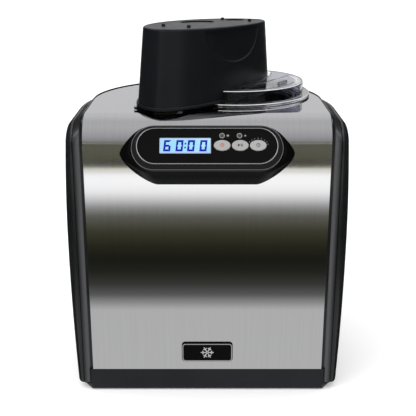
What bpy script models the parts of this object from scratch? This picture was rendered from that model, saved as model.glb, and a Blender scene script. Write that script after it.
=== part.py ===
"""Upright compressor machine for frozen yogurt and ice cream.

A brushed steel sheet wraps the front and top, black panels close the sides and the rounded back,
a tilted control panel sits on the front bend, and an oval motor head stands on a clear lid over
the freezing well. All lengths below are millimetres; the meshes are scaled to metres at the end.
X is to the right, Y to the back, Z up, and the origin is on the table under the middle.
"""
import math

import bmesh
import bpy
from mathutils import Matrix, Vector

MM = 0.001
GAP = 0.3
SHARP_ANGLE = math.radians(35.0)

# Casing
FRONT_Y = -108.0
ARC_Y = -11.0
STEEL_HALF = 117.5
STEEL_TOP = 287.0
STEEL_SHEET = 1.0
BEND_R = 27.0
WIDEST_HALF = 139.2
WIDEST_Z = 160.0
FOOT_DRAW_IN = 4.2
TOP_DRAW_IN = 2.0
TOP_DRAW_SPAN = 80.0
WIDEST_REAR_Y = ARC_Y + WIDEST_HALF
ROLL_DEPTH = 20.0
ROLL_SINK = 0.8
FRONT_LEVELS = (25.0, 60.0, 110.0, 160.0, 205.0, 240.0)
REAR_LEVELS = (60.0, 110.0, WIDEST_Z, 205.0, 240.0)
TOP_MIDDLE_Y = -50.0
BEND_DEGREES = (18.0, 36.0, 54.0, 72.0)
PANEL_WALL = 2.5
PANEL_BOTTOM = 8.0
SLOT_PITCH = 10.0
SLOT_HEIGHT = 4.0
SEAM_ANGLE = 38.0
SEAM_GAP_ANGLE = 0.12

# Base
BASE_TOP = 24.0
BASE_BOTTOM = 1.5
BASE_FLOOR = 4.5
BASE_FRONT_HALF = 119.5
BASE_HALF = 131.0
BASE_CHAMFER = 16.0
BASE_WALL = 3.0
FOOT_R = 9.0
FOOT_SPOTS = ((-95.0, -85.0), (95.0, -85.0), (-72.0, 78.0), (72.0, 78.0))

# Freezing well, bowl and lid share one upright axis
BOWL_X = 29.0
BOWL_Y = 19.0
WELL_HOLE_R = 70.0
WELL_R = 65.0
WELL_WALL = 1.5
WELL_BOTTOM = 150.0
WELL_TOP = 272.7
BOWL_R = 64.0
BOWL_WALL = 1.2
BOWL_BOTTOM = WELL_BOTTOM + WELL_WALL + GAP
BOWL_RIM = 281.0
COIL_R = 69.3
COIL_TUBE_R = 1.6
FOAM_R_IN = 72.0
FOAM_R_OUT = 84.0
LID_BOTTOM = STEEL_TOP + GAP
LID_FLANGE_R = 80.0
LID_FLANGE = 3.0
LID_EAR_R = 73.0
LID_EAR_TOP = 302.5
LID_WALL = 2.4
EAR_CLEAR = 2.4
FLAP_R = 64.4
FLAP_CLEAR = 11.4

# Motor head: an oval, flatter towards the clear ear, that widens towards its foot
HEAD_X = 6.0
HEAD_Y = -4.0
HEAD_TURN = math.radians(57.7)
HEAD_LONG = 95.0
HEAD_LEFT = 54.0
HEAD_RIGHT = 31.0
HEAD_TOP = 360.8
HEAD_RAKE = 0.03
HEAD_FLARE = 1.095
HEAD_BOTTOM = LID_BOTTOM + LID_FLANGE + GAP
HEAD_WALL = 2.5
HEAD_LIP = 1.6
HEAD_LIP_HEIGHT = 2.4
HEAD_POINTS = 48
SCOOP_ALONG = -5.5
SCOOP_HALF = 49.5
SCOOP_DROP = 31.0
SCOOP_DEPTH = 5.0
SCOOP_RIM = 3.5
HEAD_LEVELS = (315.0, 327.0, 336.0, 345.0)
BUMPER_SPOTS = ((-58.0, 21.0), (-54.0, -6.0), (61.0, 26.0), (62.0, -7.5))
BUMPER_R = 1.9
BUMPER_HEIGHT = 0.9

# Drive train in the head
GEAR_TEETH = 30
PINION_TEETH = 10
GEAR_MODULE = 1.25
GEAR_Z = 297.0
GEAR_THICK = 5.0
SPINDLE_R = 4.0
MOTOR_R = 19.5
MOTOR_BOTTOM = 306.0
MOTOR_HEIGHT = 44.0

# Lid seal and well ring under the lid, as radii and heights
SEAL_R_IN = 62.5
SEAL_R_OUT = 65.4
SEAL_BOTTOM = 283.5
RING_R_IN = 66.0
RING_STEP_R = 69.5
RING_FLANGE_R = 73.5
RING_NECK_R = 69.7
RING_BOTTOM = 273.0
RING_FLANGE_BOTTOM = 283.0
RING_FLANGE_TOP = 285.5

# Mains inlet in the back
INLET_Z = 44.0
INLET_HALF = 14.0
INLET_HALF_HEIGHT = 10.5

# Control panel: face tilted back, local axes are across, up the face and out of the face
PANEL_CENTRE = Vector((0.0, FRONT_Y - 8.5, 261.0))
PANEL_TILT = math.radians(58.8)
RING_HALF = 71.75
RING_HALF_HEIGHT = 22.2
RING_THICK = 2.0
GLASS_HALF = 65.0
GLASS_HALF_HEIGHT = 16.4
GLASS_RAISE = 2.0
GLASS_GAP = 0.3
CUT_FRONT = 5.0
CUT_BACK = -50.0
SKIRT_STEPS = 14
SKIRT_SECTIONS = ((78.5, -23.2, 27.0, 1.12, -6.0), (83.0, -24.8, 33.0, 1.32, -11.0),
                  (84.0, -29.5, 37.0, 1.5, -34.0))
OPENING_HALF = 60.0
OPENING_HALF_HEIGHT = 12.0
FASCIA_FRONT = -1.2
FASCIA_BACK = -3.2
LCD_CENTRE = (-20.5, 2.6)
LCD_SIZE = (48.0, 15.0)
BUTTON_NAMES = ("power_button", "start_button", "timer_button")
BUTTON_ALONG = (14.0, 30.8, 47.6)
BUTTON_UP = 2.6
BUTTON_HALF = (7.8, 5.2)
LAMP_ALONG = (13.9, 30.2)
LAMP_UP = 12.2
LAMP_R = 1.9

# Cooling machinery
COMPRESSOR_X = 44.0
COMPRESSOR_Y = 8.0
COMPRESSOR_R = 52.0
COMPRESSOR_FOOT = 14.3
COMPRESSOR_TOP = 120.0
BRACKET_BOTTOM = 12.0
CONDENSER_TOP = 125.0
FAN_CENTRE = Vector((-82.0, -27.5, 68.0))
FAN_R = 41.0
FAN_BLADES = 5


# ---------------------------------------------------------------- tools

def clear_scene():
    for obj in list(bpy.data.objects):
        bpy.data.objects.remove(obj, do_unlink=True)


def material(name, colour, roughness, metallic=0.0, alpha=1.0):
    mat = bpy.data.materials.new(name)
    mat.use_nodes = True
    shader = mat.node_tree.nodes["Principled BSDF"]
    shader.inputs["Base Color"].default_value = (*colour, 1.0)
    shader.inputs["Roughness"].default_value = roughness
    shader.inputs["Metallic"].default_value = metallic
    shader.inputs["Alpha"].default_value = alpha
    return mat


def link_object(name, bm, mat):
    """Turn a millimetre bmesh into a named object in metres."""
    bmesh.ops.scale(bm, vec=(MM, MM, MM), verts=bm.verts)
    mesh = bpy.data.meshes.new(name)
    bm.to_mesh(mesh)
    bm.free()
    mesh.shade_smooth()
    mesh.set_sharp_from_angle(angle=SHARP_ANGLE)
    if mat is not None:
        mesh.materials.append(mat)
    obj = bpy.data.objects.new(name, mesh)
    bpy.context.scene.collection.objects.link(obj)
    return obj


def make_object(name, bm, mat, pivot=(0.0, 0.0, 0.0)):
    """Make an object from a closed bmesh, with its origin at the pivot."""
    bmesh.ops.recalc_face_normals(bm, faces=bm.faces)
    bmesh.ops.translate(bm, vec=-Vector(pivot), verts=bm.verts)
    obj = link_object(name, bm, mat)
    obj.location = Vector(pivot) * MM
    return obj


def boolean(obj, bm, operation):
    """Combine the object with a millimetre bmesh, held as a wire cutter."""
    cutter = make_object(obj.name + "_" + operation.lower(), bm, None)
    cutter.hide_render = True
    cutter.display_type = "WIRE"
    modifier = obj.modifiers.new(cutter.name, "BOOLEAN")
    modifier.object = cutter
    modifier.operation = operation
    modifier.solver = "EXACT"


def skin(bm, low, high):
    """Join two equally long closed loops of vertices by a band of faces."""
    count = len(low)
    for i in range(count):
        j = (i + 1) % count
        bm.faces.new((low[i], low[j], high[j], high[i]))


def vertex_loops(bm, rings):
    return [[bm.verts.new(point) for point in ring] for ring in rings]


def loft(rings):
    """A solid through a stack of equally long closed rings, capped at both ends."""
    bm = bmesh.new()
    loops = vertex_loops(bm, rings)
    for low, high in zip(loops, loops[1:]):
        skin(bm, low, high)
    bm.faces.new(list(reversed(loops[0])))
    bm.faces.new(loops[-1])
    return bm


def shell_loft(outer, inner):
    """A cup: outer rings from the mouth to the closed end, then the inner rings back to the mouth."""
    bm = bmesh.new()
    outside = vertex_loops(bm, outer)
    inside = vertex_loops(bm, inner)
    for wall, end in ((outside, outside[-1]), (inside, inside[0])):
        for low, high in zip(wall, wall[1:]):
            skin(bm, low, high)
        bm.faces.new(end)
    skin(bm, inside[-1], outside[0])
    return bm


def ring_loft(rings):
    """A closed band through rings that come back to the first one."""
    bm = bmesh.new()
    loops = vertex_loops(bm, rings)
    for low, high in zip(loops, loops[1:] + loops[:1]):
        skin(bm, low, high)
    return bm


def prism(outline, low, high):
    return loft([[(x, y, low) for x, y in outline], [(x, y, high) for x, y in outline]])


def box(low, high):
    corners = [(low[0], low[1]), (high[0], low[1]), (high[0], high[1]), (low[0], high[1])]
    return prism(corners, low[2], high[2])


def circle(radius, points, centre=(0.0, 0.0)):
    step = 2.0 * math.pi / points
    return [(centre[0] + radius * math.cos(step * i), centre[1] + radius * math.sin(step * i))
            for i in range(points)]


def cylinder(radius, low, high, points=24, centre=(0.0, 0.0)):
    return prism(circle(radius, points, centre), low, high)


def lathe(profile, points, centre):
    """Turn a profile of (radius, height) pairs that starts and ends on the axis."""
    rings = [[(x, y, z) for x, y in circle(radius, points, centre)]
             for radius, z in profile if radius > 0.0]
    return loft(rings)


def ring_lathe(profile, points, centre):
    """Turn a closed profile that doesn't touch the axis."""
    rings = [[(x, y, z) for x, y in circle(radius, points, centre)] for radius, z in profile]
    return ring_loft(rings)


def cup_lathe(outer, inner, points, centre):
    """Turn a cup: both profiles run from the mouth to the bottom for outer, and back for inner."""
    def turned(profile):
        return [[(x, y, z) for x, y in circle(radius, points, centre)] for radius, z in profile]
    return shell_loft(turned(outer), turned(inner))


def stadium(half, half_height, points=10, centre=(0.0, 0.0), radius=None):
    """A rectangle with round ends, or with round corners of a smaller radius."""
    radius = min(half, half_height) if radius is None else radius
    outline = []
    for corner in range(4):
        sign_x = 1.0 if corner in (0, 3) else -1.0
        sign_y = 1.0 if corner in (0, 1) else -1.0
        for i in range(points + 1):
            angle = math.radians(90.0) * (corner + i / points)
            outline.append((centre[0] + sign_x * (half - radius) + radius * math.cos(angle),
                            centre[1] + sign_y * (half_height - radius) + radius * math.sin(angle)))
    return [point for k, point in enumerate(outline) if math.dist(point, outline[k - 1]) > 0.001]


def arc(centre, radius, start, end, steps):
    return [(centre[0] + radius * math.cos(math.radians(start + (end - start) * i / steps)),
             centre[1] + radius * math.sin(math.radians(start + (end - start) * i / steps)))
            for i in range(steps + 1)]


def tube(name, points, radius, mat, resolution=2):
    """A round tube with capped ends along a list of points."""
    curve = bpy.data.curves.new(name, "CURVE")
    curve.dimensions = "3D"
    curve.bevel_depth = radius * MM
    curve.bevel_resolution = resolution
    curve.use_fill_caps = True
    spline = curve.splines.new("POLY")
    spline.points.add(len(points) - 1)
    for target, point in zip(spline.points, points):
        target.co = (*(Vector(point) * MM), 1.0)
    curve.materials.append(mat)
    obj = bpy.data.objects.new(name, curve)
    bpy.context.scene.collection.objects.link(obj)
    return obj


def smooth_route(corners, per_stretch):
    """Points on a smooth curve through the corners."""
    route = []
    last = len(corners) - 1
    for k in range(last):
        before = Vector(corners[max(k - 1, 0)])
        start = Vector(corners[k])
        end = Vector(corners[k + 1])
        after = Vector(corners[min(k + 2, last)])
        for i in range(per_stretch):
            t = i / per_stretch
            route.append(0.5 * ((2.0 * start) + (end - before) * t
                                + (2.0 * before - 5.0 * start + 4.0 * end - after) * t ** 2
                                + (3.0 * start - before - 3.0 * end + after) * t ** 3))
    route.append(Vector(corners[-1]))
    return route


# ---------------------------------------------------------------- casing

def half_width(z):
    """The casing bulges: it is widest at WIDEST_Z and draws in towards the foot and the top."""
    if z < WIDEST_Z:
        return WIDEST_HALF - FOOT_DRAW_IN * ((WIDEST_Z - z) / WIDEST_Z) ** 2
    return WIDEST_HALF - TOP_DRAW_IN * ((z - WIDEST_Z) / TOP_DRAW_SPAN) ** 2


def plan_outline(front_half, half, chamfer, points=24):
    """A plan with a flat front, chamfered front corners and a round back."""
    outline = [(-front_half, FRONT_Y), (front_half, FRONT_Y)]
    if chamfer > 0.0:
        outline.append((half, FRONT_Y + chamfer))
    outline += arc((0.0, ARC_Y), half, 0.0, 180.0, points)
    if chamfer > 0.0:
        outline.append((-half, FRONT_Y + chamfer))
    return outline


def base_outline(grow=0.0):
    return plan_outline(BASE_FRONT_HALF + grow, BASE_HALF + grow, BASE_CHAMFER - grow)


def roll_stations():
    """Stations of the casing's front and top edge: each gives a point for a reach and a depth."""
    stations = []
    for z in (PANEL_BOTTOM, *FRONT_LEVELS, STEEL_TOP - BEND_R):
        stations.append(lambda reach, depth, z=z: (reach, FRONT_Y + depth, z))
    bend_y = FRONT_Y + BEND_R
    bend_z = STEEL_TOP - BEND_R
    for degrees in BEND_DEGREES:
        angle = math.radians(degrees)
        stations.append(lambda reach, depth, a=angle: (
            reach, bend_y - (BEND_R - depth) * math.cos(a), bend_z + (BEND_R - depth) * math.sin(a)))
    return stations


def top_station(y):
    return lambda reach, depth: (reach, y, STEEL_TOP - depth)


def arc_station(degrees):
    angle = math.radians(degrees)
    return lambda reach, depth: (reach * math.cos(angle), ARC_Y + reach * math.sin(angle),
                                 STEEL_TOP - depth)


def roll_row(station):
    """The rounded shoulder from beside the steel edge to the upright side."""
    steps = 6
    full_depth = ROLL_SINK + ROLL_DEPTH
    widest = half_width(station(0.0, full_depth)[2])
    start = STEEL_HALF + GAP
    row = []
    for i in range(steps + 1):
        angle = math.radians(90.0 * i / steps)
        reach = start + (widest - start) * math.sin(angle)
        depth = ROLL_SINK + ROLL_DEPTH * (1.0 - math.cos(angle))
        row.append(station(reach, depth))
    return row


def add_grid(bm, rows):
    """Skin rows of points, sharing the vertices of points that meet."""
    made = {}

    def vertex(point):
        key = tuple(round(value, 4) for value in point)
        if key not in made:
            made[key] = bm.verts.new(point)
        return made[key]

    for low, high in zip(rows, rows[1:]):
        for i in range(len(low) - 1):
            corners = [vertex(low[i]), vertex(low[i + 1]), vertex(high[i + 1]), vertex(high[i])]
            corners = [v for k, v in enumerate(corners) if v is not corners[k - 1]]
            if len(corners) > 2:
                bm.faces.new(corners)


def shell_levels():
    levels = [station(0.0, ROLL_SINK + ROLL_DEPTH)[2] for station in roll_stations()]
    return levels + [STEEL_TOP - ROLL_SINK - ROLL_DEPTH]


def finish_shell(name, bm, mat):
    """Thicken an outer skin inwards and trim it round the base."""
    bmesh.ops.remove_doubles(bm, verts=bm.verts, dist=0.01)
    bmesh.ops.recalc_face_normals(bm, faces=bm.faces)
    outward = bm.faces[:][0]
    centre = outward.calc_center_median()
    if outward.normal.dot(Vector((centre.x, centre.y - ARC_Y, 0.0))) < 0.0:
        bmesh.ops.reverse_faces(bm, faces=bm.faces)
    obj = link_object(name, bm, mat)
    solidify = obj.modifiers.new("wall", "SOLIDIFY")
    solidify.thickness = PANEL_WALL * MM
    solidify.offset = -1.0
    boolean(obj, prism(base_outline(grow=GAP), -5.0, BASE_TOP + GAP), "DIFFERENCE")
    return obj


def side_skin(side):
    """Outer skin of one side panel, from the front roll round to the rear seam."""
    bm = bmesh.new()
    seam = SEAM_ANGLE - SEAM_GAP_ANGLE
    front = roll_stations()
    arc_steps = 8
    columns = [top_station(y) for y in (FRONT_Y + BEND_R, TOP_MIDDLE_Y, ARC_Y)]
    columns += [arc_station(seam * i / arc_steps) for i in range(1, arc_steps + 1)]
    add_grid(bm, [roll_row(station) for station in front + columns])
    rows = []
    for index, z in enumerate(shell_levels()):
        row = []
        if index < len(front):
            row.append(front[index](half_width(z), ROLL_SINK + ROLL_DEPTH))
        for station in columns:
            x, y, _ = station(half_width(z), 0.0)
            row.append((x, y, z))
        if index >= len(front):
            row.insert(0, row[0])
        rows.append(row)
    add_grid(bm, rows)
    if side < 0:
        bmesh.ops.scale(bm, vec=(-1.0, 1.0, 1.0), verts=bm.verts)
    return bm


def slot_stack(count, pitch, low, size):
    """A stack of flat slots as one cutter; the slots are separate closed boxes."""
    bm = bmesh.new()
    for i in range(count):
        z = low[2] + pitch * i
        part = box((low[0], low[1], z), (low[0] + size[0], low[1] + size[1], z + size[2]))
        mesh = bpy.data.meshes.new("slot")
        part.to_mesh(mesh)
        part.free()
        bm.from_mesh(mesh)
        bpy.data.meshes.remove(mesh)
    return bm


def side_panels(mat):
    """The two side shells, each with a stack of louvres beside the condenser."""
    count = 9
    first = Vector((126.0, -72.0, 40.0))
    size = Vector((20.0, 56.0, SLOT_HEIGHT))
    for side, word in ((-1, "left"), (1, "right")):
        panel = finish_shell("side_panel_" + word, side_skin(side), mat)
        corner = (first.x if side > 0 else -first.x - size.x, first.y, first.z)
        boolean(panel, slot_stack(count, SLOT_PITCH, corner, size), "DIFFERENCE")


def rear_panel(mat):
    """The round back between the two seams, with louvres and the opening for the inlet."""
    bm = bmesh.new()
    start = SEAM_ANGLE + SEAM_GAP_ANGLE
    steps = 20
    columns = [arc_station(start + (180.0 - 2.0 * start) * i / steps) for i in range(steps + 1)]
    add_grid(bm, [roll_row(station) for station in columns])
    rows = []
    for z in (PANEL_BOTTOM, *REAR_LEVELS, shell_levels()[-1]):
        rows.append([(*station(half_width(z), 0.0)[:2], z) for station in columns])
    add_grid(bm, rows)
    panel = finish_shell("rear_panel", bm, mat)
    louvres = slot_stack(8, SLOT_PITCH, (-36.0, 112.0, 90.0), (72.0, 24.0, SLOT_HEIGHT))
    boolean(panel, louvres, "DIFFERENCE")
    hole = stadium(INLET_HALF + 2.0 * GAP, INLET_HALF_HEIGHT + 2.0 * GAP, 1, radius=0.5)
    boolean(panel, loft([[(x, y, INLET_Z + z) for x, z in hole] for y in (100.0, 135.0)]), "DIFFERENCE")


def steel_profile(sheet, grow):
    """Side view of the wrap: up the front, round the bend and back along the top."""
    def run(inset, bottom):
        centre = (FRONT_Y + BEND_R, STEEL_TOP - BEND_R)
        bend = arc(centre, BEND_R - inset, 180.0, 90.0, 10)
        return [(FRONT_Y + inset, bottom)] + bend + [(ARC_Y + STEEL_HALF + 2.0, STEEL_TOP - inset)]
    bottom = BASE_TOP + GAP
    return run(-grow, bottom) + list(reversed(run(sheet, bottom)))


def side_prism(profile, half):
    return loft([[(-half, y, z) for y, z in profile], [(half, y, z) for y, z in profile]])


def steel_wrap(mat):
    wrap = make_object("steel_wrap", side_prism(steel_profile(STEEL_SHEET, 0.0), STEEL_HALF), mat)
    plan = plan_outline(STEEL_HALF + 10.0, STEEL_HALF, 0.0, points=32)
    plan = [(max(-STEEL_HALF, min(STEEL_HALF, x)), y if y > FRONT_Y else y - 5.0) for x, y in plan]
    boolean(wrap, prism(plan, 0.0, STEEL_TOP + 5.0), "INTERSECT")
    boolean(wrap, cylinder(WELL_HOLE_R, 250.0, 300.0, 40, (BOWL_X, BOWL_Y)), "DIFFERENCE")
    window = stadium(OPENING_HALF + 2.0, OPENING_HALF_HEIGHT + 1.0, 5)
    boolean(wrap, panel_prism(window, 0.0, -45.0), "DIFFERENCE")


def base_tray(mat):
    outer = base_outline()
    inner = plan_outline(BASE_FRONT_HALF - BASE_WALL, BASE_HALF - BASE_WALL, BASE_CHAMFER)
    inner = [(x, max(y, FRONT_Y + BASE_WALL)) for x, y in inner]
    tray = make_object("base_tray", prism(outer, BASE_BOTTOM, BASE_TOP), mat)
    boolean(tray, prism(inner, BASE_FLOOR, BASE_TOP + 5.0), "DIFFERENCE")


def feet(mat):
    """Soft feet glued under the tray; they hold it just clear of the table."""
    for index, (x, y) in enumerate(FOOT_SPOTS, start=1):
        make_object(f"foot_{index}", cylinder(FOOT_R, 0.0, BASE_BOTTOM - GAP, 16, (x, y)), mat)


def badge(mat):
    height = 44.5
    thick = 2.2
    outline = stadium(26.0, 10.5, 4, radius=3.5)
    plate = loft([[(x, FRONT_Y - GAP - depth, height + z) for x, z in outline] for depth in (0.0, thick)])
    make_object("badge_plate", plate, mat)


def power_inlet(mat):
    """Socket for the mains lead, let into the round back, with two flat pins in its mouth."""
    low, high = INLET_Z - INLET_HALF_HEIGHT, INLET_Z + INLET_HALF_HEIGHT
    back, floor, mouth = 98.0, 106.0, WIDEST_REAR_Y - 1.6
    wall = 2.5
    body = box((-INLET_HALF, back, low), (INLET_HALF, mouth, high))
    inlet = make_object("power_inlet", body, mat)
    socket = box((-INLET_HALF + wall, floor, low + wall), (INLET_HALF - wall, mouth + 5.0, high - wall))
    boolean(inlet, socket, "DIFFERENCE")
    pin_half, pin_half_height = 1.0, 2.5
    for x in (-6.0, 6.0):
        pin = box((x - pin_half, floor - 1.0, INLET_Z - pin_half_height),
                  (x + pin_half, mouth - 4.0, INLET_Z + pin_half_height))
        boolean(inlet, pin, "UNION")


# ---------------------------------------------------------------- control panel

def panel_point(across, up, out):
    up_axis = Vector((0.0, math.cos(PANEL_TILT), math.sin(PANEL_TILT)))
    out_axis = Vector((0.0, -math.sin(PANEL_TILT), math.cos(PANEL_TILT)))
    return PANEL_CENTRE + Vector((across, 0.0, 0.0)) + up_axis * up + out_axis * out


def panel_prism(outline, front, back):
    return loft([[panel_point(a, b, out) for a, b in outline] for out in (front, back)])


def glass_outline(grow=0.0):
    return stadium(GLASS_HALF + grow, GLASS_HALF_HEIGHT + grow, 6, (0.0, GLASS_RAISE))


def skirt_ring(half, low, reach, blunt, out):
    """One section of the flared skirt.

    Its ends reach out by half ellipses, which a blunt above 1 draws in towards a rounded point.
    """
    half_height = (RING_HALF_HEIGHT - low) / 2.0
    middle = (RING_HALF_HEIGHT + low) / 2.0
    ring = []
    for side in (1.0, -1.0):
        for i in range(SKIRT_STEPS + 1):
            angle = math.radians(180.0 * i / SKIRT_STEPS - 90.0)
            across = side * (half - reach + reach * math.cos(angle) ** blunt)
            up = middle + half_height * side * math.copysign(abs(math.sin(angle)) ** blunt, angle)
            ring.append(panel_point(across, up, out))
    return ring


def control_bezel(mat):
    """The black skirt, cut to sit on the front and the bend of the steel."""
    front = -RING_THICK - GAP
    sections = ((RING_HALF, -RING_HALF_HEIGHT, RING_HALF_HEIGHT, 1.0, front), *SKIRT_SECTIONS)
    rings = [skirt_ring(*section) for section in sections]
    bezel = make_object("control_bezel", loft(rings), mat)
    below = 180.0
    solid = [(FRONT_Y - GAP, below)]
    solid += arc((FRONT_Y + BEND_R, STEEL_TOP - BEND_R), BEND_R + GAP, 180.0, 90.0, 10)
    solid += [(0.0, STEEL_TOP + GAP), (0.0, below)]
    boolean(bezel, side_prism(solid, STEEL_HALF), "DIFFERENCE")
    seat = panel_prism(glass_outline(GLASS_GAP), CUT_FRONT, FASCIA_BACK - 0.4)
    boolean(bezel, seat, "DIFFERENCE")
    opening = stadium(OPENING_HALF, OPENING_HALF_HEIGHT, 5)
    boolean(bezel, panel_prism(opening, CUT_FRONT, CUT_BACK), "DIFFERENCE")


def bezel_ring(mat):
    outer = stadium(RING_HALF, RING_HALF_HEIGHT, 8)
    ring = make_object("bezel_ring", panel_prism(outer, 0.0, -RING_THICK), mat)
    boolean(ring, panel_prism(glass_outline(GLASS_GAP), CUT_FRONT, -CUT_FRONT), "DIFFERENCE")


def control_fascia(mat):
    fascia = make_object("control_fascia", panel_prism(glass_outline(), FASCIA_FRONT, FASCIA_BACK), mat)
    window = stadium(LCD_SIZE[0] / 2.0 + GAP, LCD_SIZE[1] / 2.0 + GAP, 2, LCD_CENTRE, radius=1.0)
    boolean(fascia, panel_prism(window, CUT_FRONT, -CUT_FRONT), "DIFFERENCE")
    for along in BUTTON_ALONG:
        hole = ellipse(BUTTON_HALF[0] + GAP, BUTTON_HALF[1] + GAP, 16, (along, BUTTON_UP))
        boolean(fascia, panel_prism(hole, CUT_FRONT, -CUT_FRONT), "DIFFERENCE")
    for along in LAMP_ALONG:
        hole = circle(LAMP_R + GAP, 10, (along, LAMP_UP))
        boolean(fascia, panel_prism(hole, CUT_FRONT, -CUT_FRONT), "DIFFERENCE")


def ellipse(half_a, half_b, points, centre):
    step = 2.0 * math.pi / points
    return [(centre[0] + half_a * math.cos(step * i), centre[1] + half_b * math.sin(step * i))
            for i in range(points)]


def panel_fittings(mats):
    """Display, lamps, push buttons and the circuit board behind them."""
    screen = stadium(LCD_SIZE[0] / 2.0, LCD_SIZE[1] / 2.0, 2, LCD_CENTRE, radius=0.7)
    lcd_back = -6.4
    make_object("lcd_module", panel_prism(screen, FASCIA_FRONT - GAP, lcd_back), mats["lcd"])
    for name, along in zip(BUTTON_NAMES, BUTTON_ALONG):
        pivot = panel_point(along, BUTTON_UP, 0.0)
        rings = []
        for shrink, out in ((0.0, -5.0), (0.0, -0.5), (1.2, 0.2)):
            outline = ellipse(BUTTON_HALF[0] - shrink, BUTTON_HALF[1] - shrink, 16, (along, BUTTON_UP))
            rings.append([panel_point(a, b, out) for a, b in outline])
        make_object(name, loft(rings), mats["button"], pivot)
    for word, along in zip(("cooling", "mixing"), LAMP_ALONG):
        outline = circle(LAMP_R, 10, (along, LAMP_UP))
        make_object(word + "_lamp", panel_prism(outline, FASCIA_FRONT + GAP, FASCIA_BACK), mats["lamp"])
    board = stadium(54.0, 8.5, 2, (0.0, 1.0), radius=1.0)
    board_front, board_thick = lcd_back - 0.4, 1.6
    plate = panel_prism(board, board_front, board_front - board_thick)
    make_object("control_board", plate, mats["circuit"])


# ---------------------------------------------------------------- well and bowl

def well_ring(mat):
    """Ring that closes the gap between the steel's opening and the well."""
    profile = [(RING_R_IN, RING_BOTTOM), (RING_STEP_R, RING_BOTTOM), (RING_STEP_R, RING_FLANGE_BOTTOM),
               (RING_FLANGE_R, RING_FLANGE_BOTTOM), (RING_FLANGE_R, RING_FLANGE_TOP),
               (RING_NECK_R, RING_FLANGE_TOP), (RING_NECK_R, STEEL_TOP), (RING_R_IN, STEEL_TOP)]
    make_object("well_ring", ring_lathe(profile, 40, (BOWL_X, BOWL_Y)), mat)


def freezing_well(mat):
    outer_r = WELL_R + WELL_WALL
    flange_r, flange_bottom = 74.0, 271.2
    outer = [(flange_r, WELL_TOP), (flange_r, flange_bottom), (outer_r, flange_bottom),
             (outer_r, WELL_BOTTOM)]
    inner = [(WELL_R, WELL_BOTTOM + WELL_WALL), (WELL_R, WELL_TOP)]
    make_object("freezing_well", cup_lathe(outer, inner, 36, (BOWL_X, BOWL_Y)), mat)


def evaporator_coil(mat):
    turns = 7
    steps = 20
    low, high = 162.0, 255.0
    points = []
    for i in range(turns * steps + 1):
        angle = 2.0 * math.pi * i / steps
        z = low + (high - low) * i / (turns * steps)
        points.append((BOWL_X + COIL_R * math.cos(angle), BOWL_Y + COIL_R * math.sin(angle), z))
    tube("evaporator_coil", points, COIL_TUBE_R, mat, resolution=1)


def foam_jacket(mat):
    top, floor, bottom = 270.5, 149.0, 136.0
    outer = [(FOAM_R_OUT, top), (FOAM_R_OUT, bottom)]
    inner = [(FOAM_R_IN, floor), (FOAM_R_IN, top)]
    make_object("foam_jacket", cup_lathe(outer, inner, 28, (BOWL_X, BOWL_Y)), mat)


def removable_bowl(mat):
    """Pan with a turned-out rim, a rounded floor edge and a post for the paddle to turn on."""
    rim, corner = 1.5, 6.0
    outer = [(BOWL_R + rim, BOWL_RIM), (BOWL_R + rim, BOWL_RIM - rim), (BOWL_R, BOWL_RIM - rim),
             (BOWL_R, BOWL_BOTTOM + corner), (BOWL_R - corner, BOWL_BOTTOM)]
    floor = BOWL_BOTTOM + BOWL_WALL
    wall = BOWL_R - BOWL_WALL
    post_r, post_height = 3.0, 12.0
    inner = [(post_r, floor + post_height), (post_r, floor), (wall - corner + 1.0, floor),
             (wall, floor + corner), (wall, BOWL_RIM)]
    pivot = (BOWL_X, BOWL_Y, BOWL_BOTTOM)
    make_object("removable_bowl", cup_lathe(outer, inner, 36, (BOWL_X, BOWL_Y)), mat, pivot)


def mixing_paddle(mat):
    """An open frame that scrapes the bowl wall, on a hub with a socket at each end."""
    axis = (BOWL_X, BOWL_Y)
    low = BOWL_BOTTOM + BOWL_WALL + 1.5
    top = 266.0
    reach = 58.5
    half = 2.5
    foot_cut, shoulder_cut, bar, lower_bar = 6.0, 14.0, 8.0, 12.0
    hub_r, hub_top = 8.0, 285.0
    hub = lathe([(hub_r, low), (hub_r, hub_top - 3.0), (hub_r - 1.5, hub_top)], 20, axis)
    paddle = make_object("mixing_paddle", hub, mat, (BOWL_X, BOWL_Y, low))
    foot = low + 0.5
    corners = [(-reach, low + foot_cut), (-reach + foot_cut, foot), (reach - foot_cut, foot),
               (reach, low + foot_cut), (reach, top - shoulder_cut), (reach - shoulder_cut, top),
               (-reach + shoulder_cut, top), (-reach, top - shoulder_cut)]
    frame = loft([[(BOWL_X + x, BOWL_Y + y, z) for x, z in corners] for y in (-half, half)])
    boolean(paddle, frame, "UNION")
    deep = 9.0
    for side in (-1.0, 1.0):
        near, far = sorted((side * 13.0, side * (reach - bar)))
        window = box((BOWL_X + near, BOWL_Y - deep, low + lower_bar),
                     (BOWL_X + far, BOWL_Y + deep, top - shoulder_cut))
        boolean(paddle, window, "DIFFERENCE")
    post_socket = cylinder(3.6, low - 5.0, low + 14.0, 16, axis)
    boolean(paddle, post_socket, "DIFFERENCE")
    spindle_socket = cylinder(SPINDLE_R + GAP, 268.0, hub_top + 5.0, 16, axis)
    boolean(paddle, spindle_socket, "DIFFERENCE")


def lid_seal(mat):
    top = LID_BOTTOM - GAP
    profile = [(SEAL_R_IN, SEAL_BOTTOM), (SEAL_R_OUT, SEAL_BOTTOM), (SEAL_R_OUT, top), (SEAL_R_IN, top)]
    seal = ring_lathe(profile, 36, (BOWL_X, BOWL_Y))
    make_object("lid_seal", seal, mat, (BOWL_X, BOWL_Y, LID_BOTTOM))


# ---------------------------------------------------------------- clear lid

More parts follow.
